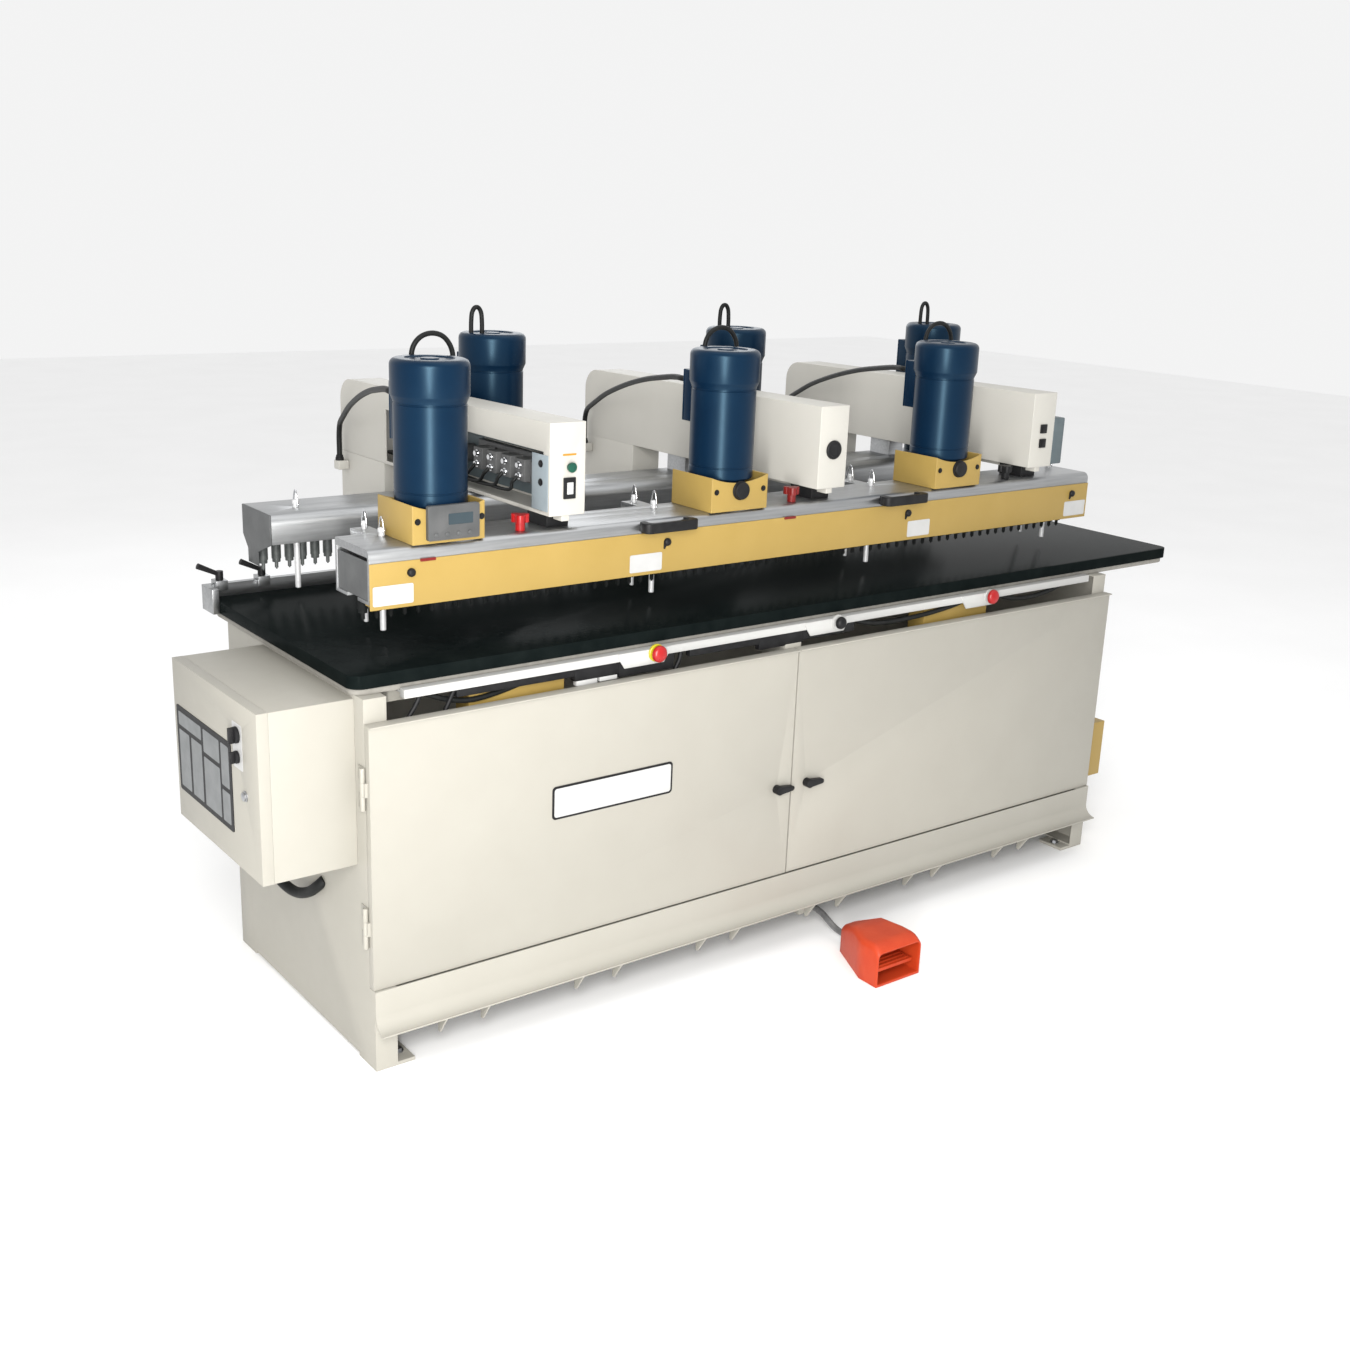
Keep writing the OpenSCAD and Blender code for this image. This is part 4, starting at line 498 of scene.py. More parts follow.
end_tree(screw_tree, place.outputs["Instances"], screw_in, screw_out)


def screws(name, points, axis, head_radius, head_height, key, body, sides=6):
    """A fastener on each point in millimetres, all with the same axis."""
    mesh = bpy.data.meshes.new(name)
    mesh.from_pydata([Vector(p) * MM for p in points], [], [])
    attribute = mesh.attributes.new("axis", "FLOAT_VECTOR", "POINT")
    attribute.data.foreach_set("vector", [v for _ in points for v in axis])
    sizes = {"Head radius": head_radius * MM, "Head height": head_height * MM, "Head sides": sides}
    return grow(name, mesh, screw_tree, key, body, **sizes)


print("fastener tree with", len(screw_tree.nodes), "nodes")

# %% [markdown]
# ## Pedal conduit
# The grey conduit is the one free cord. It leaves a gland on the box under the front frame, drops
# to the floor and runs into the back of the foot pedal. Its points repeat the CAD route.

# %% Conduit
CONDUIT_R = 8
CONDUIT_FROM, CONDUIT_TO = Vector((102, -323.8, 52)), Vector((94.5, -465.7, 30))
CONDUIT_BEND = (0, 0.02, 0.18, 0.5, 0.82, 0.98, 1)
CONDUIT_ROUTE = []
for k, share in enumerate(CONDUIT_BEND):
    x, _, z = CONDUIT_FROM.lerp(CONDUIT_TO, share)
    CONDUIT_ROUTE.append((x, CONDUIT_FROM.lerp(CONDUIT_TO, k / 6).y, z))
conduit = hoses("pedal_conduit_tube", [CONDUIT_ROUTE], CONDUIT_R, "conduit_grey", "base", ("pedal_conduit",), 16, 5)

# %% [markdown]
# ## Cabinet and table
# Folded panels, doors, table and frame keep their CAD shape. Each gets the edge radius of the
# real thing: 2 or 3 mm on bent sheet, more on the laminated table.

# %% Cabinet skins
for node, width in (
    ("left_end_panel", 2.5), ("right_end_panel", 2.5), ("rear_panel", 0.8), ("front_frame", 3), ("front_sill", 0.8),
    ("left_door", 1.2), ("right_door", 1.2), ("enclosure", 1.2), ("enclosure_door", 1.4), ("column_base", 3),
):
    soften(node, width, "cream", 3)
# Columns and arms take the lighter cream copy, which paints light onto them.
for node, width in (("columns", 1.6), ("left_arm", 1.8), ("plain_arms", 1.8)):
    soften(node, width, "cream_painted_light", 3)
soften("table_top", 7, "table_black", 4)
soften("table_core", 2, "core_grey")
for node in ("cylinder_covers", "side_box"):
    soften(node, 1.2, "yellow", 3)
soften("front_motor_boxes", 1.8, "yellow", 3)
for node in ("fence_rail", "fence_stop_left", "fence_stop_right"):
    soften(node, 1.0, "alloy")
soften("door_hinges", 0.6, "cream")
soften("lift_cylinders", 1.2, "steel")
for node, width in (("front_beam", 1.2), ("rear_beam", 1.2)):
    soften(node, width, "alloy")
soften("rear_end_plates", 1.0, "end_grey")
soften("control_rail", 0.8, "white_rail")
for node, width in (
    ("left_handle", 2.5), ("right_handle", 2.5), ("stop_lever_left", 1.5), ("stop_lever_right", 1.5),
    ("slide_blocks", 1.5), ("bow_handles", 8),
):
    soften(node, width, "black_plastic", 3)
soften("pedal_treadle", 1.5, "pedal_orange")
soften("valve_bank", 2, "gear_grey")
soften("control_gear", 2, "gear_grey")
for node, key in (("lock_knob_left", "red"), ("lock_knob_centre", "dark_red"), ("lock_knob_right", "black_plastic")):
    soften(node, 4, key, 3)

# %% [markdown]
# ## Spindle rows
# Every chuck has the same turned shape: a collar at the gear case, a plain round body, a nose and
# the bit. A row is a rule, so a tree puts the parts on a line of points. Each
# chuck has only a few dozen faces because there are well over a hundred of them.

# %% Chuck tree
chuck_tree, chuck_in, chuck_out = tree_with("chuck_row", [
    ("Count", "NodeSocketInt", 1), ("Pitch", "NodeSocketFloat", 0.032), ("Start", "NodeSocketVector", None),
    ("Finish", "NodeSocketMaterial", None),
])
CHUCK_PARTS = [(9.0, 0, 4, 14), (11.0, 4, 40, 14), (9.5, 40, 48, 14), (4.5, 48, 62, 8), (2.0, 62, 65, 8)]
chuck = chuck_tree.nodes.new("GeometryNodeJoinGeometry")
for radius, z0, z1, sides in CHUCK_PARTS:
    drum = chuck_tree.nodes.new("GeometryNodeMeshCylinder")
    drum.inputs["Vertices"].default_value = sides
    drum.inputs["Radius"].default_value = radius * MM
    drum.inputs["Depth"].default_value = (z1 - z0) * MM
    low = chuck_tree.nodes.new("GeometryNodeTransform")
    low.inputs["Translation"].default_value = (0, 0, -(z0 + z1) / 2 * MM)
    chuck_tree.links.new(drum.outputs["Mesh"], low.inputs["Geometry"])
    chuck_tree.links.new(low.outputs["Geometry"], chuck.inputs[0])
step = chuck_tree.nodes.new("ShaderNodeCombineXYZ")
line = chuck_tree.nodes.new("GeometryNodeMeshLine")
line.mode = "OFFSET"
row = chuck_tree.nodes.new("GeometryNodeInstanceOnPoints")
for a, b in (
    (chuck_in.outputs["Pitch"], step.inputs["X"]), (step.outputs[0], line.inputs["Offset"]),
    (chuck_in.outputs["Count"], line.inputs["Count"]), (chuck_in.outputs["Start"], line.inputs["Start Location"]),
    (line.outputs["Mesh"], row.inputs["Points"]), (chuck.outputs[0], row.inputs["Instance"]),
):
    chuck_tree.links.new(a, b)
end_tree(chuck_tree, row.outputs["Instances"], chuck_in, chuck_out)
print("a chuck of", len(CHUCK_PARTS), "turned parts")

# %% [markdown]
# The two rows stand at the pitch of shelf-pin holes, 32 mm. The first spindle of each row can spin,
# so it is a piece of its own. The front row gets a darker copy of the chuck steel: painted shade for the cover's
# shadow.

# %% Front and rear rows
HOLE_PITCH, CHUCK_R, ROW_COUNT = 32, 11, 68
for name, key in (("front", "dark_steel"), ("rear", "chuck_grey")):
    for node, count in ((name + "_lead_spindle", 1), (name + "_spindles", ROW_COUNT)):
        lo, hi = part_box(node)
        start = (lo.x + CHUCK_R * MM, (lo.y + hi.y) / 2, hi.z)
        grow(node + "_chucks", bpy.data.meshes.new(node), chuck_tree, key, BODY_OF[node], (node,),
             Count=count, Pitch=HOLE_PITCH * MM, Start=start)
        print(node, count)

# %% [markdown]
# ## Motors
# Each motor is turned in one go: a flange, a smooth drum, a shallow seam and a fan cowl with a
# rounded rim and a shallow dish on top. The junction box with its lid and screws sits behind the
# drum. Leads loop out of the front boxes and the rear tops; they are rubber, so they are pieces of
# their own.

# %% Motor drums
FRONT_MOTORS = (-875, -107, 629)
REAR_MOTORS = (-427, 341, 1109)
FRONT_ROW, REAR_ROW = -136, 378
MOTOR_TOP = 1439
FRONT_TOP, REAR_TOP = 1073, 1059
MOTOR_R, COWL_R, FLANGE_R = 76, 82, 60
BOX_OUT, BOX_HALF, BOX_Z = 30, 40, (1264, 1384)
LOOP_BACK, LOOP_LEFT = 80, 44
BOX_LOOP = [(0, 1380), (0, 1430), (6, 1456), (24, 1474), (50, 1480), (76, 1472), (94, 1448), (98, 1415), (90, 1375),
            (70, 1345), (36, 1334)]
TOP_LOOP = [(-15, 1434), (-15, 1460), (-13, 1484), (-7, 1496), (0, 1499), (7, 1496), (13, 1484), (15, 1460), (15, 1434)]


def motor_profile(z0):
    top = MOTOR_TOP
    profile = [(FLANGE_R, z0), (FLANGE_R, z0 + 70), (MOTOR_R - 3, z0 + 70), (MOTOR_R, z0 + 73)]
    for seam in (z0 + 96, top - 92):
        profile += [(MOTOR_R, seam), (MOTOR_R - 1.2, seam + 1), (MOTOR_R - 1.2, seam + 3), (MOTOR_R, seam + 4)]
    profile += [(MOTOR_R, top - 86), (COWL_R - 1, top - 75), (COWL_R, top - 72)]
    for k in range(7):
        a = math.radians(90 * k / 6)
        profile.append((COWL_R - 14 + 14 * math.cos(a), top - 14 + 14 * math.sin(a)))
    return profile + [(52, top), (49, top - 3), (20, top - 3), (18, top), (3, top)]


for name, places, row_y, z0 in (
    ("front_motors", FRONT_MOTORS, FRONT_ROW, FRONT_TOP), ("rear_motors", REAR_MOTORS, REAR_ROW, REAR_TOP),
):
    body = BODY_OF[name]
    drums, boxes, lids, lid_screws, loops = bmesh.new(), bmesh.new(), bmesh.new(), [], []
    for x in places:
        add_lathe(drums, motor_profile(z0), (x, row_y, 0), steps=64)
        back = row_y + MOTOR_R + BOX_OUT
        add_box(boxes, x - BOX_HALF, x + BOX_HALF, row_y + 52, back - 5, *BOX_Z)
        add_box(lids, x - BOX_HALF, x + BOX_HALF, back - 5, back, *BOX_Z)
        lid_screws += [(x + dx, back, z) for dx in (-32, 32) for z in (BOX_Z[0] + 8, BOX_Z[1] - 8)]
        if name == "front_motors":
            loops.append([(x + dx, row_y + LOOP_BACK, z) for dx, z in BOX_LOOP])
        else:
            loops.append([(x - LOOP_LEFT + dx, row_y, z) for dx, z in TOP_LOOP])
    make(name + "_drums", drums, "navy", body, replaces=(name,), angle=30)
    make(name + "_terminal_boxes", boxes, "navy", body, 2.5, 3)
    make(name + "_terminal_lids", lids, "navy", body, 1.5, 2)
    screws(name + "_lid_screws", lid_screws, (0, 1, 0), 3, 2, "steel", body, 12)
    hoses(name + "_lead_loops", loops, 5.5, "cable_black", body)
    print(name, len(places))

# %% [markdown]
# ## Motor cables
# Each front motor has a cable that arches back to a gland beside its column. The front head
# slides, but the cables are one piece on no body, drawn for the head where it stands.

# %% Cables across the slide
ARMS = (-588, 180, 948)
ARM_HALF = 45.5
CABLE_BEND = 56
CABLE_OUT, CABLE_END_Y, CABLE_END_Z = 20, 774, 1096
CABLE_WAY = (
    (0.035, 0.005), (0.09, 0.028), (0.2, 0.095), (0.34, 0.19), (0.5, 0.33), (0.66, 0.5), (0.8, 0.675), (0.92, 0.865),
)


def cable_route(motor_x, arm_x):
    """Straight out of the junction box, back over the beams and round into the gland."""
    start = Vector((motor_x - BOX_HALF + 14, FRONT_ROW + MOTOR_R + BOX_OUT, BOX_Z[1] - 25))
    end = Vector((arm_x - ARM_HALF - CABLE_OUT, CABLE_END_Y, CABLE_END_Z))
    flat = Vector((end.x - start.x, end.y - start.y, 0)).normalized()
    low, rise = start + Vector((0, 26, 0)), end + Vector((0, 0, 40))
    arc = [rise - flat * CABLE_BEND * (1 - math.cos(t)) + Vector((0, 0, CABLE_BEND * math.sin(t)))
           for t in map(math.radians, (70, 46, 23))]
    way = [Vector((low.x + w * (arc[0].x - low.x), low.y + w * (arc[0].y - low.y), low.z + d * (arc[0].z - low.z)))
           for w, d in CABLE_WAY]
    return [start, start + Vector((0, 13, 0)), low] + way + arc + [rise, end + Vector((0, 0, 20)), end]


cable_routes = [cable_route(m, a) for m, a in zip(FRONT_MOTORS, ARMS)]
cables = hoses("motor_cable_tubes", cable_routes, 7, "cable_black", None, ("motor_cables",), 12, 8)
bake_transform(cables)
cable_lines = [smooth_route(route, 8) for route in cable_routes]
print("cable lengths, mm", [round(sum((b - a).length for a, b in zip(c, c[1:]))) for c in cable_lines])

# %% [markdown]
# ## Hold-downs
# Bright rods press the panel down before the bits reach it. A lathe profile gives each one its
# chamfered foot and its collar. On top sits a bent wire clip, which is a thin hose along a loop.

# %% Rods and wire clips
STATIONS = [81 + (i - 1.5) * 700 for i in range(4)]
REAR_STATIONS = STATIONS[:3] + [ARMS[2] + ARM_HALF + 28]
ROD_LOW = 870


def rod_profile(r, top):
    foot = [(r - 1.5, ROD_LOW), (r, ROD_LOW + 1.5)]
    return foot + [(r, top + 8), (r + 1.5, top + 9), (r + 1.5, top + 16), (r - 2, top + 18)]


def wire_clip(x, y, top):
    side = [(-11, top + 3), (-11, top + 12), (-7, top + 28), (-3, top + 38)]
    loop = side + [(0, top + 40)] + [(-a, z) for a, z in reversed(side)]
    return [(x, y + a, z) for a, z in loop]


for node, top, rods in (
    ("front_hold_downs", FRONT_TOP, [(x, -95, 6.5) for x in STATIONS] + [(x, -15, 5) for x in STATIONS]),
    ("rear_hold_downs", REAR_TOP, [(x, 337, 6.5) for x in REAR_STATIONS]),
):
    shafts = bmesh.new()
    for x, y, r in rods:
        add_lathe(shafts, rod_profile(r, top), (x, y, 0), steps=24)
    make(node + "_rods", shafts, "rod_satin", node, replaces=(node,))
    hoses(node + "_clips", [wire_clip(x, y, top) for x, y, _ in rods], 1.8, "chrome", node, sides=8)
    print(node, len(rods))

# %% [markdown]
# ## Front head trims
# The readout on the left motor box has a dark window and round keys. The other boxes carry a flat
# round knob between two screws. Prisms with rounded outlines give moulded corners, and a lathe gives
# the knob its stepped face.

# %% Readout and knobs
FRONT_FACE = -213
READ_X0, KNOB_Z = FRONT_MOTORS[0] - 84 + 30, 1121
bezel, window, keys = bmesh.new(), bmesh.new(), bmesh.new()
add_prism(bezel, round_outline(READ_X0, READ_X0 + 119, 1081, 1153, 4), FRONT_FACE - 12, FRONT_FACE)
add_prism(window, round_outline(READ_X0 + 46, READ_X0 + 103, 1112, 1135, 2), FRONT_FACE - 12.8, FRONT_FACE - 11)
for k in range(4):
    add_lathe(keys, [(4.5, 0), (4.5, 1.5), (3.5, 2.2)], (READ_X0 + 18 + 26 * k, FRONT_FACE - 12, 1093), "-Y", 16)
make("readout_bezel", bezel, "gear_grey", "front_head", 1.2, 2, ("readout",))
make("readout_window", window, "lcd_glass", "front_head", 0.4, 1)
make("readout_keys", keys, "end_grey", "front_head")
KNOB = [(22.5, 0), (22.5, 3), (21, 4), (20.5, 10), (19, 12), (12, 12.5)]
knobs = bmesh.new()
for x in FRONT_MOTORS[1:]:
    add_lathe(knobs, KNOB, (x, FRONT_FACE, KNOB_Z), "-Y", 36)
make("box_knobs", knobs, "black_plastic", "front_head", angle=30)
screw_x = [x + dx for x in FRONT_MOTORS[1:] for dx in (-70, 70)] + [FRONT_MOTORS[0] + dx for dx in (-72, 76)]
box_screws = [(x, FRONT_FACE, KNOB_Z) for x in screw_x]
screws("box_knob_screws", box_screws, (0, -1, 0), 5, 3, "black_plastic", "front_head", 14)
print("readout from x", READ_X0, "and", len(FRONT_MOTORS) - 1, "knobs")

# %% [markdown]
# A folded yellow sheet runs along the whole front beam. It is drawn as two thin boxes with a bevel
# as the bend radius. Dark grey plates inside the beam's hollow ends are painted shade.

# %% Yellow cover and painted shade in the beam's ends
COVER_FACE = -216
lo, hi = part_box("front_cover")
COVER_X0, COVER_X1 = lo.x / MM, hi.x / MM
cover, end_shade = bmesh.new(), bmesh.new()
add_box(cover, COVER_X0, COVER_X1, COVER_FACE, FRONT_FACE, 949, 1045)
add_box(cover, COVER_X0, COVER_X1, FRONT_FACE - 1, hi.y / MM, 957, 960)
make("front_cover_sheet", cover, "yellow", "front_head", 1.2, 3, ("front_cover",))
# Thin dark plates just inside each end of the beam: painted shade in its hollow.
for x in (COVER_X0 + 2, COVER_X1 - 5):
    add_box(end_shade, x, x + 3, FRONT_FACE + 7, -66, 967, 1048)
make("beam_end_painted_shade", end_shade, "end_grey", "front_head", 0.6, 1)
print("cover from", round(COVER_X0), "to", round(COVER_X1))

# %% [markdown]
# Small black pointers, red tags and plain white plates mark the cover. They are thin, so prisms and
# one turned button shape are enough.

# %% Pointers, tags and plates
pointers, tags, plates = bmesh.new(), bmesh.new(), bmesh.new()
POINTER = [(9, 0), (9, 4), (8, 6.5), (5, 8.5), (1, 9)]
POINTER_X, TAG_X = (-965, -318, 450, 1094), (-926, 50)
PLATE_X = ((-1051, -960), (-420, -331), (453, 533), (1068, 1156))
for x in POINTER_X:
    add_lathe(pointers, POINTER, (x, COVER_FACE, 1020), "-Y", 24)
for x in POINTER_X[1:]:
    add_prism(pointers, [(x - 9, 1018), (x + 1, 1018), (x - 7, 1004), (x - 9, 1005)], COVER_FACE - 3, COVER_FACE)
for x in TAG_X:
    add_prism(tags, round_outline(x - 18, x + 18, 1040, 1046, 2), COVER_FACE - 1.5, COVER_FACE)
for x0, x1 in PLATE_X:
    add_prism(plates, round_outline(x0, x1, 957, 998, 4), COVER_FACE - 0.8, COVER_FACE)
make("cover_pointers", pointers, "black_plastic", "front_head")
make("cover_tags", tags, "dark_red", "front_head")
make("cover_plates", plates, "plate_white", "front_head")
print(len(POINTER_X), "pointers,", len(TAG_X), "tags,", len(PLATE_X), "plates")

# %% [markdown]
# ## Arms
# The arms carry a round plug, rocker switches and a grey pod on the right. Beside each column a
# cream elbow holds the gland where a motor cable ends. Each is a bevelled box or a turned shape that
# sits on the arm's face.

# %% Arm fittings
ARM_FRONT, ARM_LOW, ARM_TOP = -213, 1104, 1304
plug, rocker, pod, glands, elbows = (bmesh.new() for _ in range(5))
add_lathe(plug, [(23, 0), (23, 4), (21, 6.5), (17, 6.5), (16, 5), (3, 5)], (ARMS[1], ARM_FRONT, ARM_LOW + 94), "-Y", 40)
for z in (ARM_TOP - 108, ARM_TOP - 147):
    add_box(rocker, ARMS[2] - 12, ARMS[2] + 12, ARM_FRONT - 5, ARM_FRONT, z, z + 24)
    add_box(rocker, ARMS[2] - 8, ARMS[2] + 8, ARM_FRONT - 7, ARM_FRONT - 4, z + 4, z + 20)
BUTTON_X = ARMS[0] + 7
add_box(rocker, BUTTON_X - 18, BUTTON_X + 12, ARM_FRONT - 5, ARM_FRONT, ARM_LOW + 36, ARM_LOW + 82)
add_box(pod, ARMS[2] + ARM_HALF, ARMS[2] + ARM_HALF + 44, ARM_FRONT, ARM_FRONT + 100, ARM_LOW + 4, ARM_LOW + 130)
for x in ARMS:
    side = x - ARM_HALF
    gland_foot = (side - CABLE_OUT, CABLE_END_Y, CABLE_END_Z - 14)
    add_lathe(glands, [(11, 0), (11, 7), (9.5, 8), (9.5, 12), (8, 14)], gland_foot, "Z", 18)
    add_box(elbows, side - 30, side, CABLE_END_Y - 15, CABLE_END_Y + 15, CABLE_END_Z - 38, CABLE_END_Z - 14)
make("arm_plug", plug, "black_plastic", "carriage", replaces=("arm_fittings",))
make("arm_rockers", rocker, "black_plastic", "carriage", 1.2, 2)
make("arm_pod", pod, "slate_blue", "carriage", 4, 3)
# The elbows take the lighter cream copy with its painted light.
make("cable_elbows", elbows, "cream_painted_light", "carriage", 3, 3)
make("cable_glands", glands, "black_plastic", "carriage")
print("arm fittings at x", ARMS)

# %% [markdown]
# The left arm's front has a white rocker, an amber mark and a green push button. The button moves,
# so it rides on its own body.

# %% Left arm's front
rocker_face, amber_mark = bmesh.new(), bmesh.new()
add_box(rocker_face, BUTTON_X - 11, BUTTON_X + 5, ARM_FRONT - 6.5, ARM_FRONT - 4, ARM_LOW + 46, ARM_LOW + 72)
amber_outline = round_outline(BUTTON_X - 20, BUTTON_X + 14, ARM_TOP - 71, ARM_TOP - 67, 1.5)
add_prism(amber_mark, amber_outline, ARM_FRONT - 1.2, ARM_FRONT)
make("rocker_face", rocker_face, "plate_white", "carriage", 1.5, 2)
make("amber_mark", amber_mark, "amber", "carriage")
button = bmesh.new()
button_shape = [(8, -10), (8, 5.3), (11, 5.3), (11, 9.3), (9.5, 11.3)]
add_lathe(button, button_shape, (BUTTON_X, ARM_FRONT, ARM_TOP - 96), "-Y", 28)
make("arm_button_cap", button, "green", "arm_button", replaces=("arm_button",))
print("button at z", ARM_TOP - 96)

# %% [markdown]
# The left arm is open on its left side and holds the air valves. Push-in fittings are fasteners with
# a tall round head, and the hoses sag to the arm's floor and run back along it.

# %% Valves and hoses in the left arm
INNER = ARMS[0] + ARM_HALF - 4
VALVE_Z = ARM_LOW + 67
VALVE_Y = [ARM_FRONT + 116 + 62 * k for k in range(1, 5)]
valve_ports = [(INNER - 52, y, VALVE_Z + dz) for y in VALVE_Y for dz in (-8, 16)]
screws("valve_ports", valve_ports, (-1, 0, 0), 6, 9, "chrome", "carriage", 12)
hose_routes = []
for k, y in enumerate(VALVE_Y, 1):
    hose_routes.append([
        (INNER - 58, y, VALVE_Z - 8), (INNER - 68, y + 6, VALVE_Z - 22), (INNER - 66, y + 40, VALVE_Z - 44),
        (INNER - 60, 240, ARM_LOW + 18 + 5 * (k % 2)), (INNER - 56 + 4 * k, 420, ARM_LOW + 16),
        (INNER - 50 + 5 * k, 620, ARM_LOW + 18),
    ])
hoses("valve_hoses", hose_routes, 4, "cable_black", "carriage", sides=10)
ARM_SIDE = ARMS[0] - ARM_HALF
backing, front_plate = bmesh.new(), bmesh.new()
for y0, y1, z0, z1 in ((-190, 560, 1213, 1240), (-190, 560, 1113, 1139), (209, 560, 1139, 1213)):
    add_box(backing, INNER - 3, INNER, y0, y1, z0, z1)
add_box(front_plate, ARM_SIDE - 1.5, ARM_SIDE, -208, -144, 1113, 1234)
make("valve_backing", backing, "slate_blue", "carriage", 0.6, 1)
make("valve_front_plate", front_plate, "pale_blue", "carriage", 0.5, 2)
dots = [(ARM_SIDE - 1.5, -180, z) for z in (1214, 1174)]
screws("valve_front_dots", dots, (-1, 0, 0), 6, 3, "black_plastic", "carriage", 14)
gauge = bmesh.new()
add_lathe(gauge, [(16, 0), (16, 10), (14, 12), (13, 11), (2, 11)], (INNER - 40, ARM_FRONT + 470, VALVE_Z), "-X", 28)
make("pressure_gauge", gauge, "plate_white", "carriage")
print(len(valve_ports), "valve ports,", len(hose_routes), "hoses")

# %% [markdown]
# ## Controls
# The stop buttons are red mushrooms, the left one on a yellow collar, and the start button is flat
# and black. A quarter circle in the lathe profile gives the domed head.

# %% Buttons and collars
RAIL_MID_Z, BUTTON_FACE = 805, -343.5
STOP_X = -430
collar = bmesh.new()
COLLAR = [(8.5, 0), (20, 0), (20, 4), (18.5, 5.2), (8.5, 5.2)]
add_lathe(collar, COLLAR, (STOP_X, BUTTON_FACE + 5, RAIL_MID_Z), "-Y", 36)
make("stop_collar", collar, "stop_yellow", "base")
for node, x, key in (
    ("estop_left", STOP_X, "red"), ("estop_right", 650, "red"), ("start_button", 112, "black_plastic"),
):
    head_shape = bmesh.new()
    r = 19 if key == "red" else 15
    cap = [(r * math.cos(math.radians(a)), 10 + 11 * math.sin(math.radians(a))) for a in range(0, 81, 16)]
    add_lathe(head_shape, [(8, -22), (8, 5.3), (r - 2, 5.3), (r, 7)] + cap, (x, BUTTON_FACE, RAIL_MID_Z), "-Y", 36)
    make(node + "_cap", head_shape, key, node, replaces=(node,), angle=40)
print("buttons at z", RAIL_MID_Z)

# %% [markdown]
# The enclosure door has two turning switches, a lock and a dark panel with plain grey fields. The
# door faces -X, so a flat outline is drawn as seen from the front and then turned onto it.

# %% Enclosure door trims
DOOR_FACE = -1336
SWITCH_Y = -193.5
for node, z, r in (("main_switch", 731, 17), ("selector_switch", 685, 13)):
    knob = bmesh.new()
    add_lathe(knob, [(4, -11.5), (4, 0.5), (r, 0.5), (r, 6), (r - 2, 8.5)], (DOOR_FACE, SWITCH_Y, z), "-X", 32)
    add_box(knob, DOOR_FACE - 18.5, DOOR_FACE - 7, SWITCH_Y - r / 4, SWITCH_Y + r / 4, z - r + 1, z + r - 1)
    make(node + "_knob", knob, "black_plastic", node, 1.0, 2, (node,))


def on_door(bm, y0, y1, z0, z1, r, depth):
    """A flat plate on the enclosure door, which faces -X."""
    outline = round_outline(y0, y1, z0, z1, r)
    turn_out = Matrix(((0, 1, 0, DOOR_FACE), (1, 0, 0, 0), (0, 0, 1, 0), (0, 0, 0, 1)))
    part = bmesh.new()
    add_prism(part, outline, -depth, 0)
    part.transform(turn_out)
    mesh = bpy.data.meshes.new("plate")
    part.to_mesh(mesh)
    part.free()
    bm.from_mesh(mesh)
    bpy.data.meshes.remove(mesh)


panel, fields, switch_plate = bmesh.new(), bmesh.new(), bmesh.new()
on_door(panel, -158, 141, 511, 702, 6, 1.5)
for y0, y1, z0, z1 in (
    (-146, -106, 600, 690), (-146, -106, 523, 590), (-96, -10, 640, 690), (-96, -10, 523, 630), (2, 129, 660, 690),
    (2, 60, 523, 650), (72, 129, 523, 650),
):
    on_door(fields, y0, y1, z0, z1, 3, 2.0)
on_door(switch_plate, SWITCH_Y - 24, SWITCH_Y + 24, 660, 755, 4, 0.4)
make("legend_panel", panel, "black_plastic", "enclosure_door")
make("legend_bars", fields, "field_grey", "enclosure_door")
make("switch_plate", switch_plate, "plate_white", "enclosure_door")
lock = bmesh.new()
add_lathe(lock, [(11, 0), (11, 2), (9, 3), (9, 6), (7, 7)], (DOOR_FACE, -225, 612), "-X", 24)
make("door_lock", lock, "steel", "enclosure_door")
print("enclosure trims on x", DOOR_FACE)

# %% [markdown]
# ## Small hardware
# A plain plate with a dark rim marks the left door. Bolts hold the feet, skids and the side box; the
# fastener tree sets them all.

# %% Door plate and bolts
DOOR_FRONT = -355.5
rim, field = bmesh.new(), bmesh.new()
add_prism(rim, round_outline(-707, -385, 471, 547, 9), DOOR_FRONT - 1.5, DOOR_FRONT)
add_prism(field, round_outline(-702, -390, 476, 542, 6), DOOR_FRONT - 2, DOOR_FRONT - 1)
make("plate_rim", rim, "black_plastic", "left_door")
make("plate_field", field, "plate_white", "left_door")
anchors = [(sx * 1064, sy * 318.5, 8) for sx in (-1, 1) for sy in (-1, 1)]
skids = [(x + dx, 812, 70) for x in ARMS for dx in (-45, 45)]
box_corners = [(1262, y, z) for y in (-284, -158) for z in (190, 331)]
screws("anchor_bolts", anchors, (0, 0, 1), 9, 8, "steel", "base")
screws("skid_bolts", skids, (0, 0, 1), 8, 7, "steel", "base")
screws("cover_box_screws", box_corners, (1, 0, 0), 4, 3, "steel", "base", 14)
print(len(anchors) + len(skids) + len(box_corners), "bolts and screws")
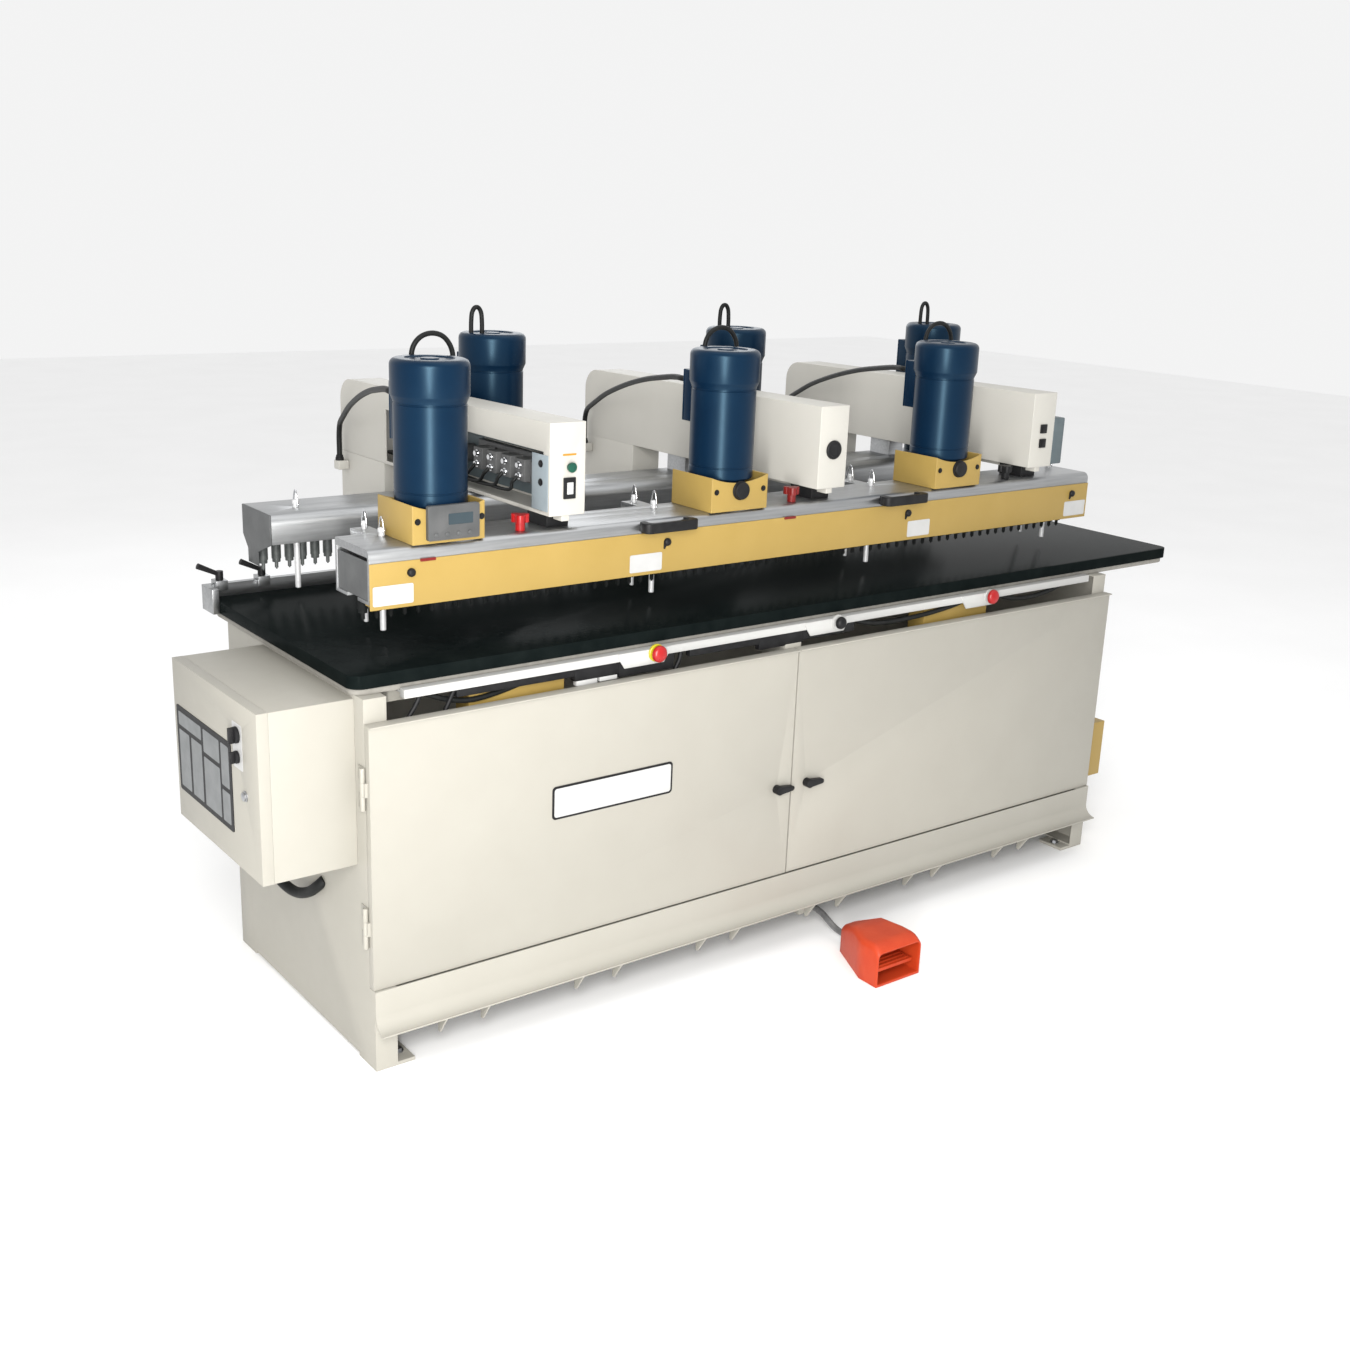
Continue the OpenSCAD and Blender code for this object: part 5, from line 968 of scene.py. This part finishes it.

# %% [markdown]
# Black straps and air hoses run under the control rail, and a thick hose hangs from the
# enclosure into the end panel. Their routes are short lists of points, so the hose tree draws them.
# Black boxes under the rail are painted shade in the gap between the rail and the door tops.

# %% Hoses and painted shade under the rail
hoses("rail_hoses", [
    [(-1000, -318, 798), (-940, -318, 774), (-880, -318, 764), (-800, -318, 774), (-700, -318, 798)],
    [(180, -326, 798), (230, -326, 784), (300, -326, 777), (420, -326, 780), (520, -326, 790), (560, -326, 798)],
    [(700, -326, 798), (760, -326, 782), (830, -326, 778), (900, -326, 786), (950, -326, 798)],
], 6, "cable_black", "base")
hoses("rail_straps", [
    [(-1004, -326, 799), (-1016, -326, 776), (-1027, -326, 760), (-1040, -326, 742)],
    [(-926, -326, 799), (-938, -326, 776), (-946, -326, 760), (-954, -326, 742)],
    [(-350, -326, 799), (-354, -326, 776), (-362, -326, 760), (-372, -326, 742)],
], 5, "black_plastic", "base", sides=8)
painted_shade_band, joint_boxes = bmesh.new(), bmesh.new()
# Black boxes under the rail: painted shade in the gap between the rail and the doors.
for x0, x1, low in (
    (-926, -640, 779), (-640, -524, 768), (-524, -374, 760), (-330, -126, 779), (-126, 10, 765), (10, 176, 772),
):
    add_box(painted_shade_band, x0, x1, -333, -317, low, 797)
for x0, x1, low, high in ((-634, -580, 756, 768), (-574, -528, 758, 768)):
    add_box(joint_boxes, x0, x1, -332, -318, low, high)
make("rail_painted_shade_band", painted_shade_band, "black_plastic", "base", 1.5, 2)
make("rail_joint_boxes", joint_boxes, "plate_white", "base", 1.2, 2)
hoses("enclosure_feed", [[
    (-1200, 60, 448), (-1200, 60, 420), (-1196, 55, 380), (-1186, 40, 335), (-1172, 10, 300), (-1160, -35, 290),
    (-1150, -80, 305), (-1142, -112, 330), (-1131, -122, 345),
]], 12, "cable_black", "base")
print("hoses and trunking on the base")

# %% [markdown]
# ## Foot pedal
# The guard is a folded shell, wide at its mouth and narrow at its back. A loft does it: one ring of
# points at each station, first along the outside to the mouth, then back along the inside. Ribs on
# the treadle give the foot grip.

# %% Pedal guard
PEDAL_Y0, HOOD_Y, PEDAL_Y1 = -669, -609, -480
PEDAL_TOP, PEDAL_BACK = 104, 70


def pedal_ring(y, inset, low):
    """One ring of the shell, from its left foot over the round top corners to its right foot."""
    share = max(0.0, (y - HOOD_Y) / (PEDAL_Y1 - HOOD_Y))
    x0, x1 = 5 + 58.5 * share + inset, 148 - 22.5 * share - inset
    top = PEDAL_TOP - inset
    if y < PEDAL_Y0 + 30:
        top -= 15 * ((PEDAL_Y0 + 30 - y) / 30) ** 2
    if y > PEDAL_Y1 - 70:
        top -= (PEDAL_TOP - PEDAL_BACK) * (y - PEDAL_Y1 + 70) / 70
    r = 16 - inset
    bend = [math.radians(a) for a in range(0, 91, 15)]
    ring = [(x0, low), (x0, top - r)]
    ring += [(x0 + r - r * math.cos(a), top - r + r * math.sin(a)) for a in bend[1:]]
    ring += [(x1 - r + r * math.sin(a), top - r + r * math.cos(a)) for a in bend]
    return [(x, y, z) for x, z in ring + [(x1, low)]]


stations = [PEDAL_Y1, -500, -520, -550, -580, HOOD_Y, -630, -640, -650, -660, PEDAL_Y0]
rings = [pedal_ring(y, 0, 0) for y in stations]
rings += [pedal_ring(y, 4, 6) for y in reversed([PEDAL_Y1 - 4] + stations[1:])]
shell = bmesh.new()
loft = [[shell.verts.new(p) for p in ring_points] for ring_points in rings]
for a, b in zip(loft, loft[1:]):
    for k in range(len(a)):
        n = (k + 1) % len(a)
        shell.faces.new((a[k], a[n], b[n], b[k]))
shell.faces.new(loft[0])
shell.faces.new(loft[-1])
make("pedal_shell", shell, "pedal_orange", "base", 1.0, 2, ("pedal_guard",), 30)
print("pedal shell of", len(rings), "rings")

# %% Pedal gland and treadle ribs
pedal_gland = bmesh.new()
add_lathe(pedal_gland, [(9, 0), (11, 1.5), (11, 8), (12, 8.5), (12, 15)], (94.5, -466, 30), "-Y", 24)
make("pedal_gland", pedal_gland, "black_plastic", "base")
ribs = bmesh.new()
for k in range(8):
    y = -645 + 13 * k
    share = max(0.0, (y - HOOD_Y) / (PEDAL_Y1 - HOOD_Y))
    add_box(ribs, 22 + 58.5 * share, 131 - 22.5 * share, y, y + 5, 37.5, 40)
make("treadle_ribs", ribs, "pedal_orange", "pedal_treadle", 1.0, 2)
print("8 ribs on the treadle")
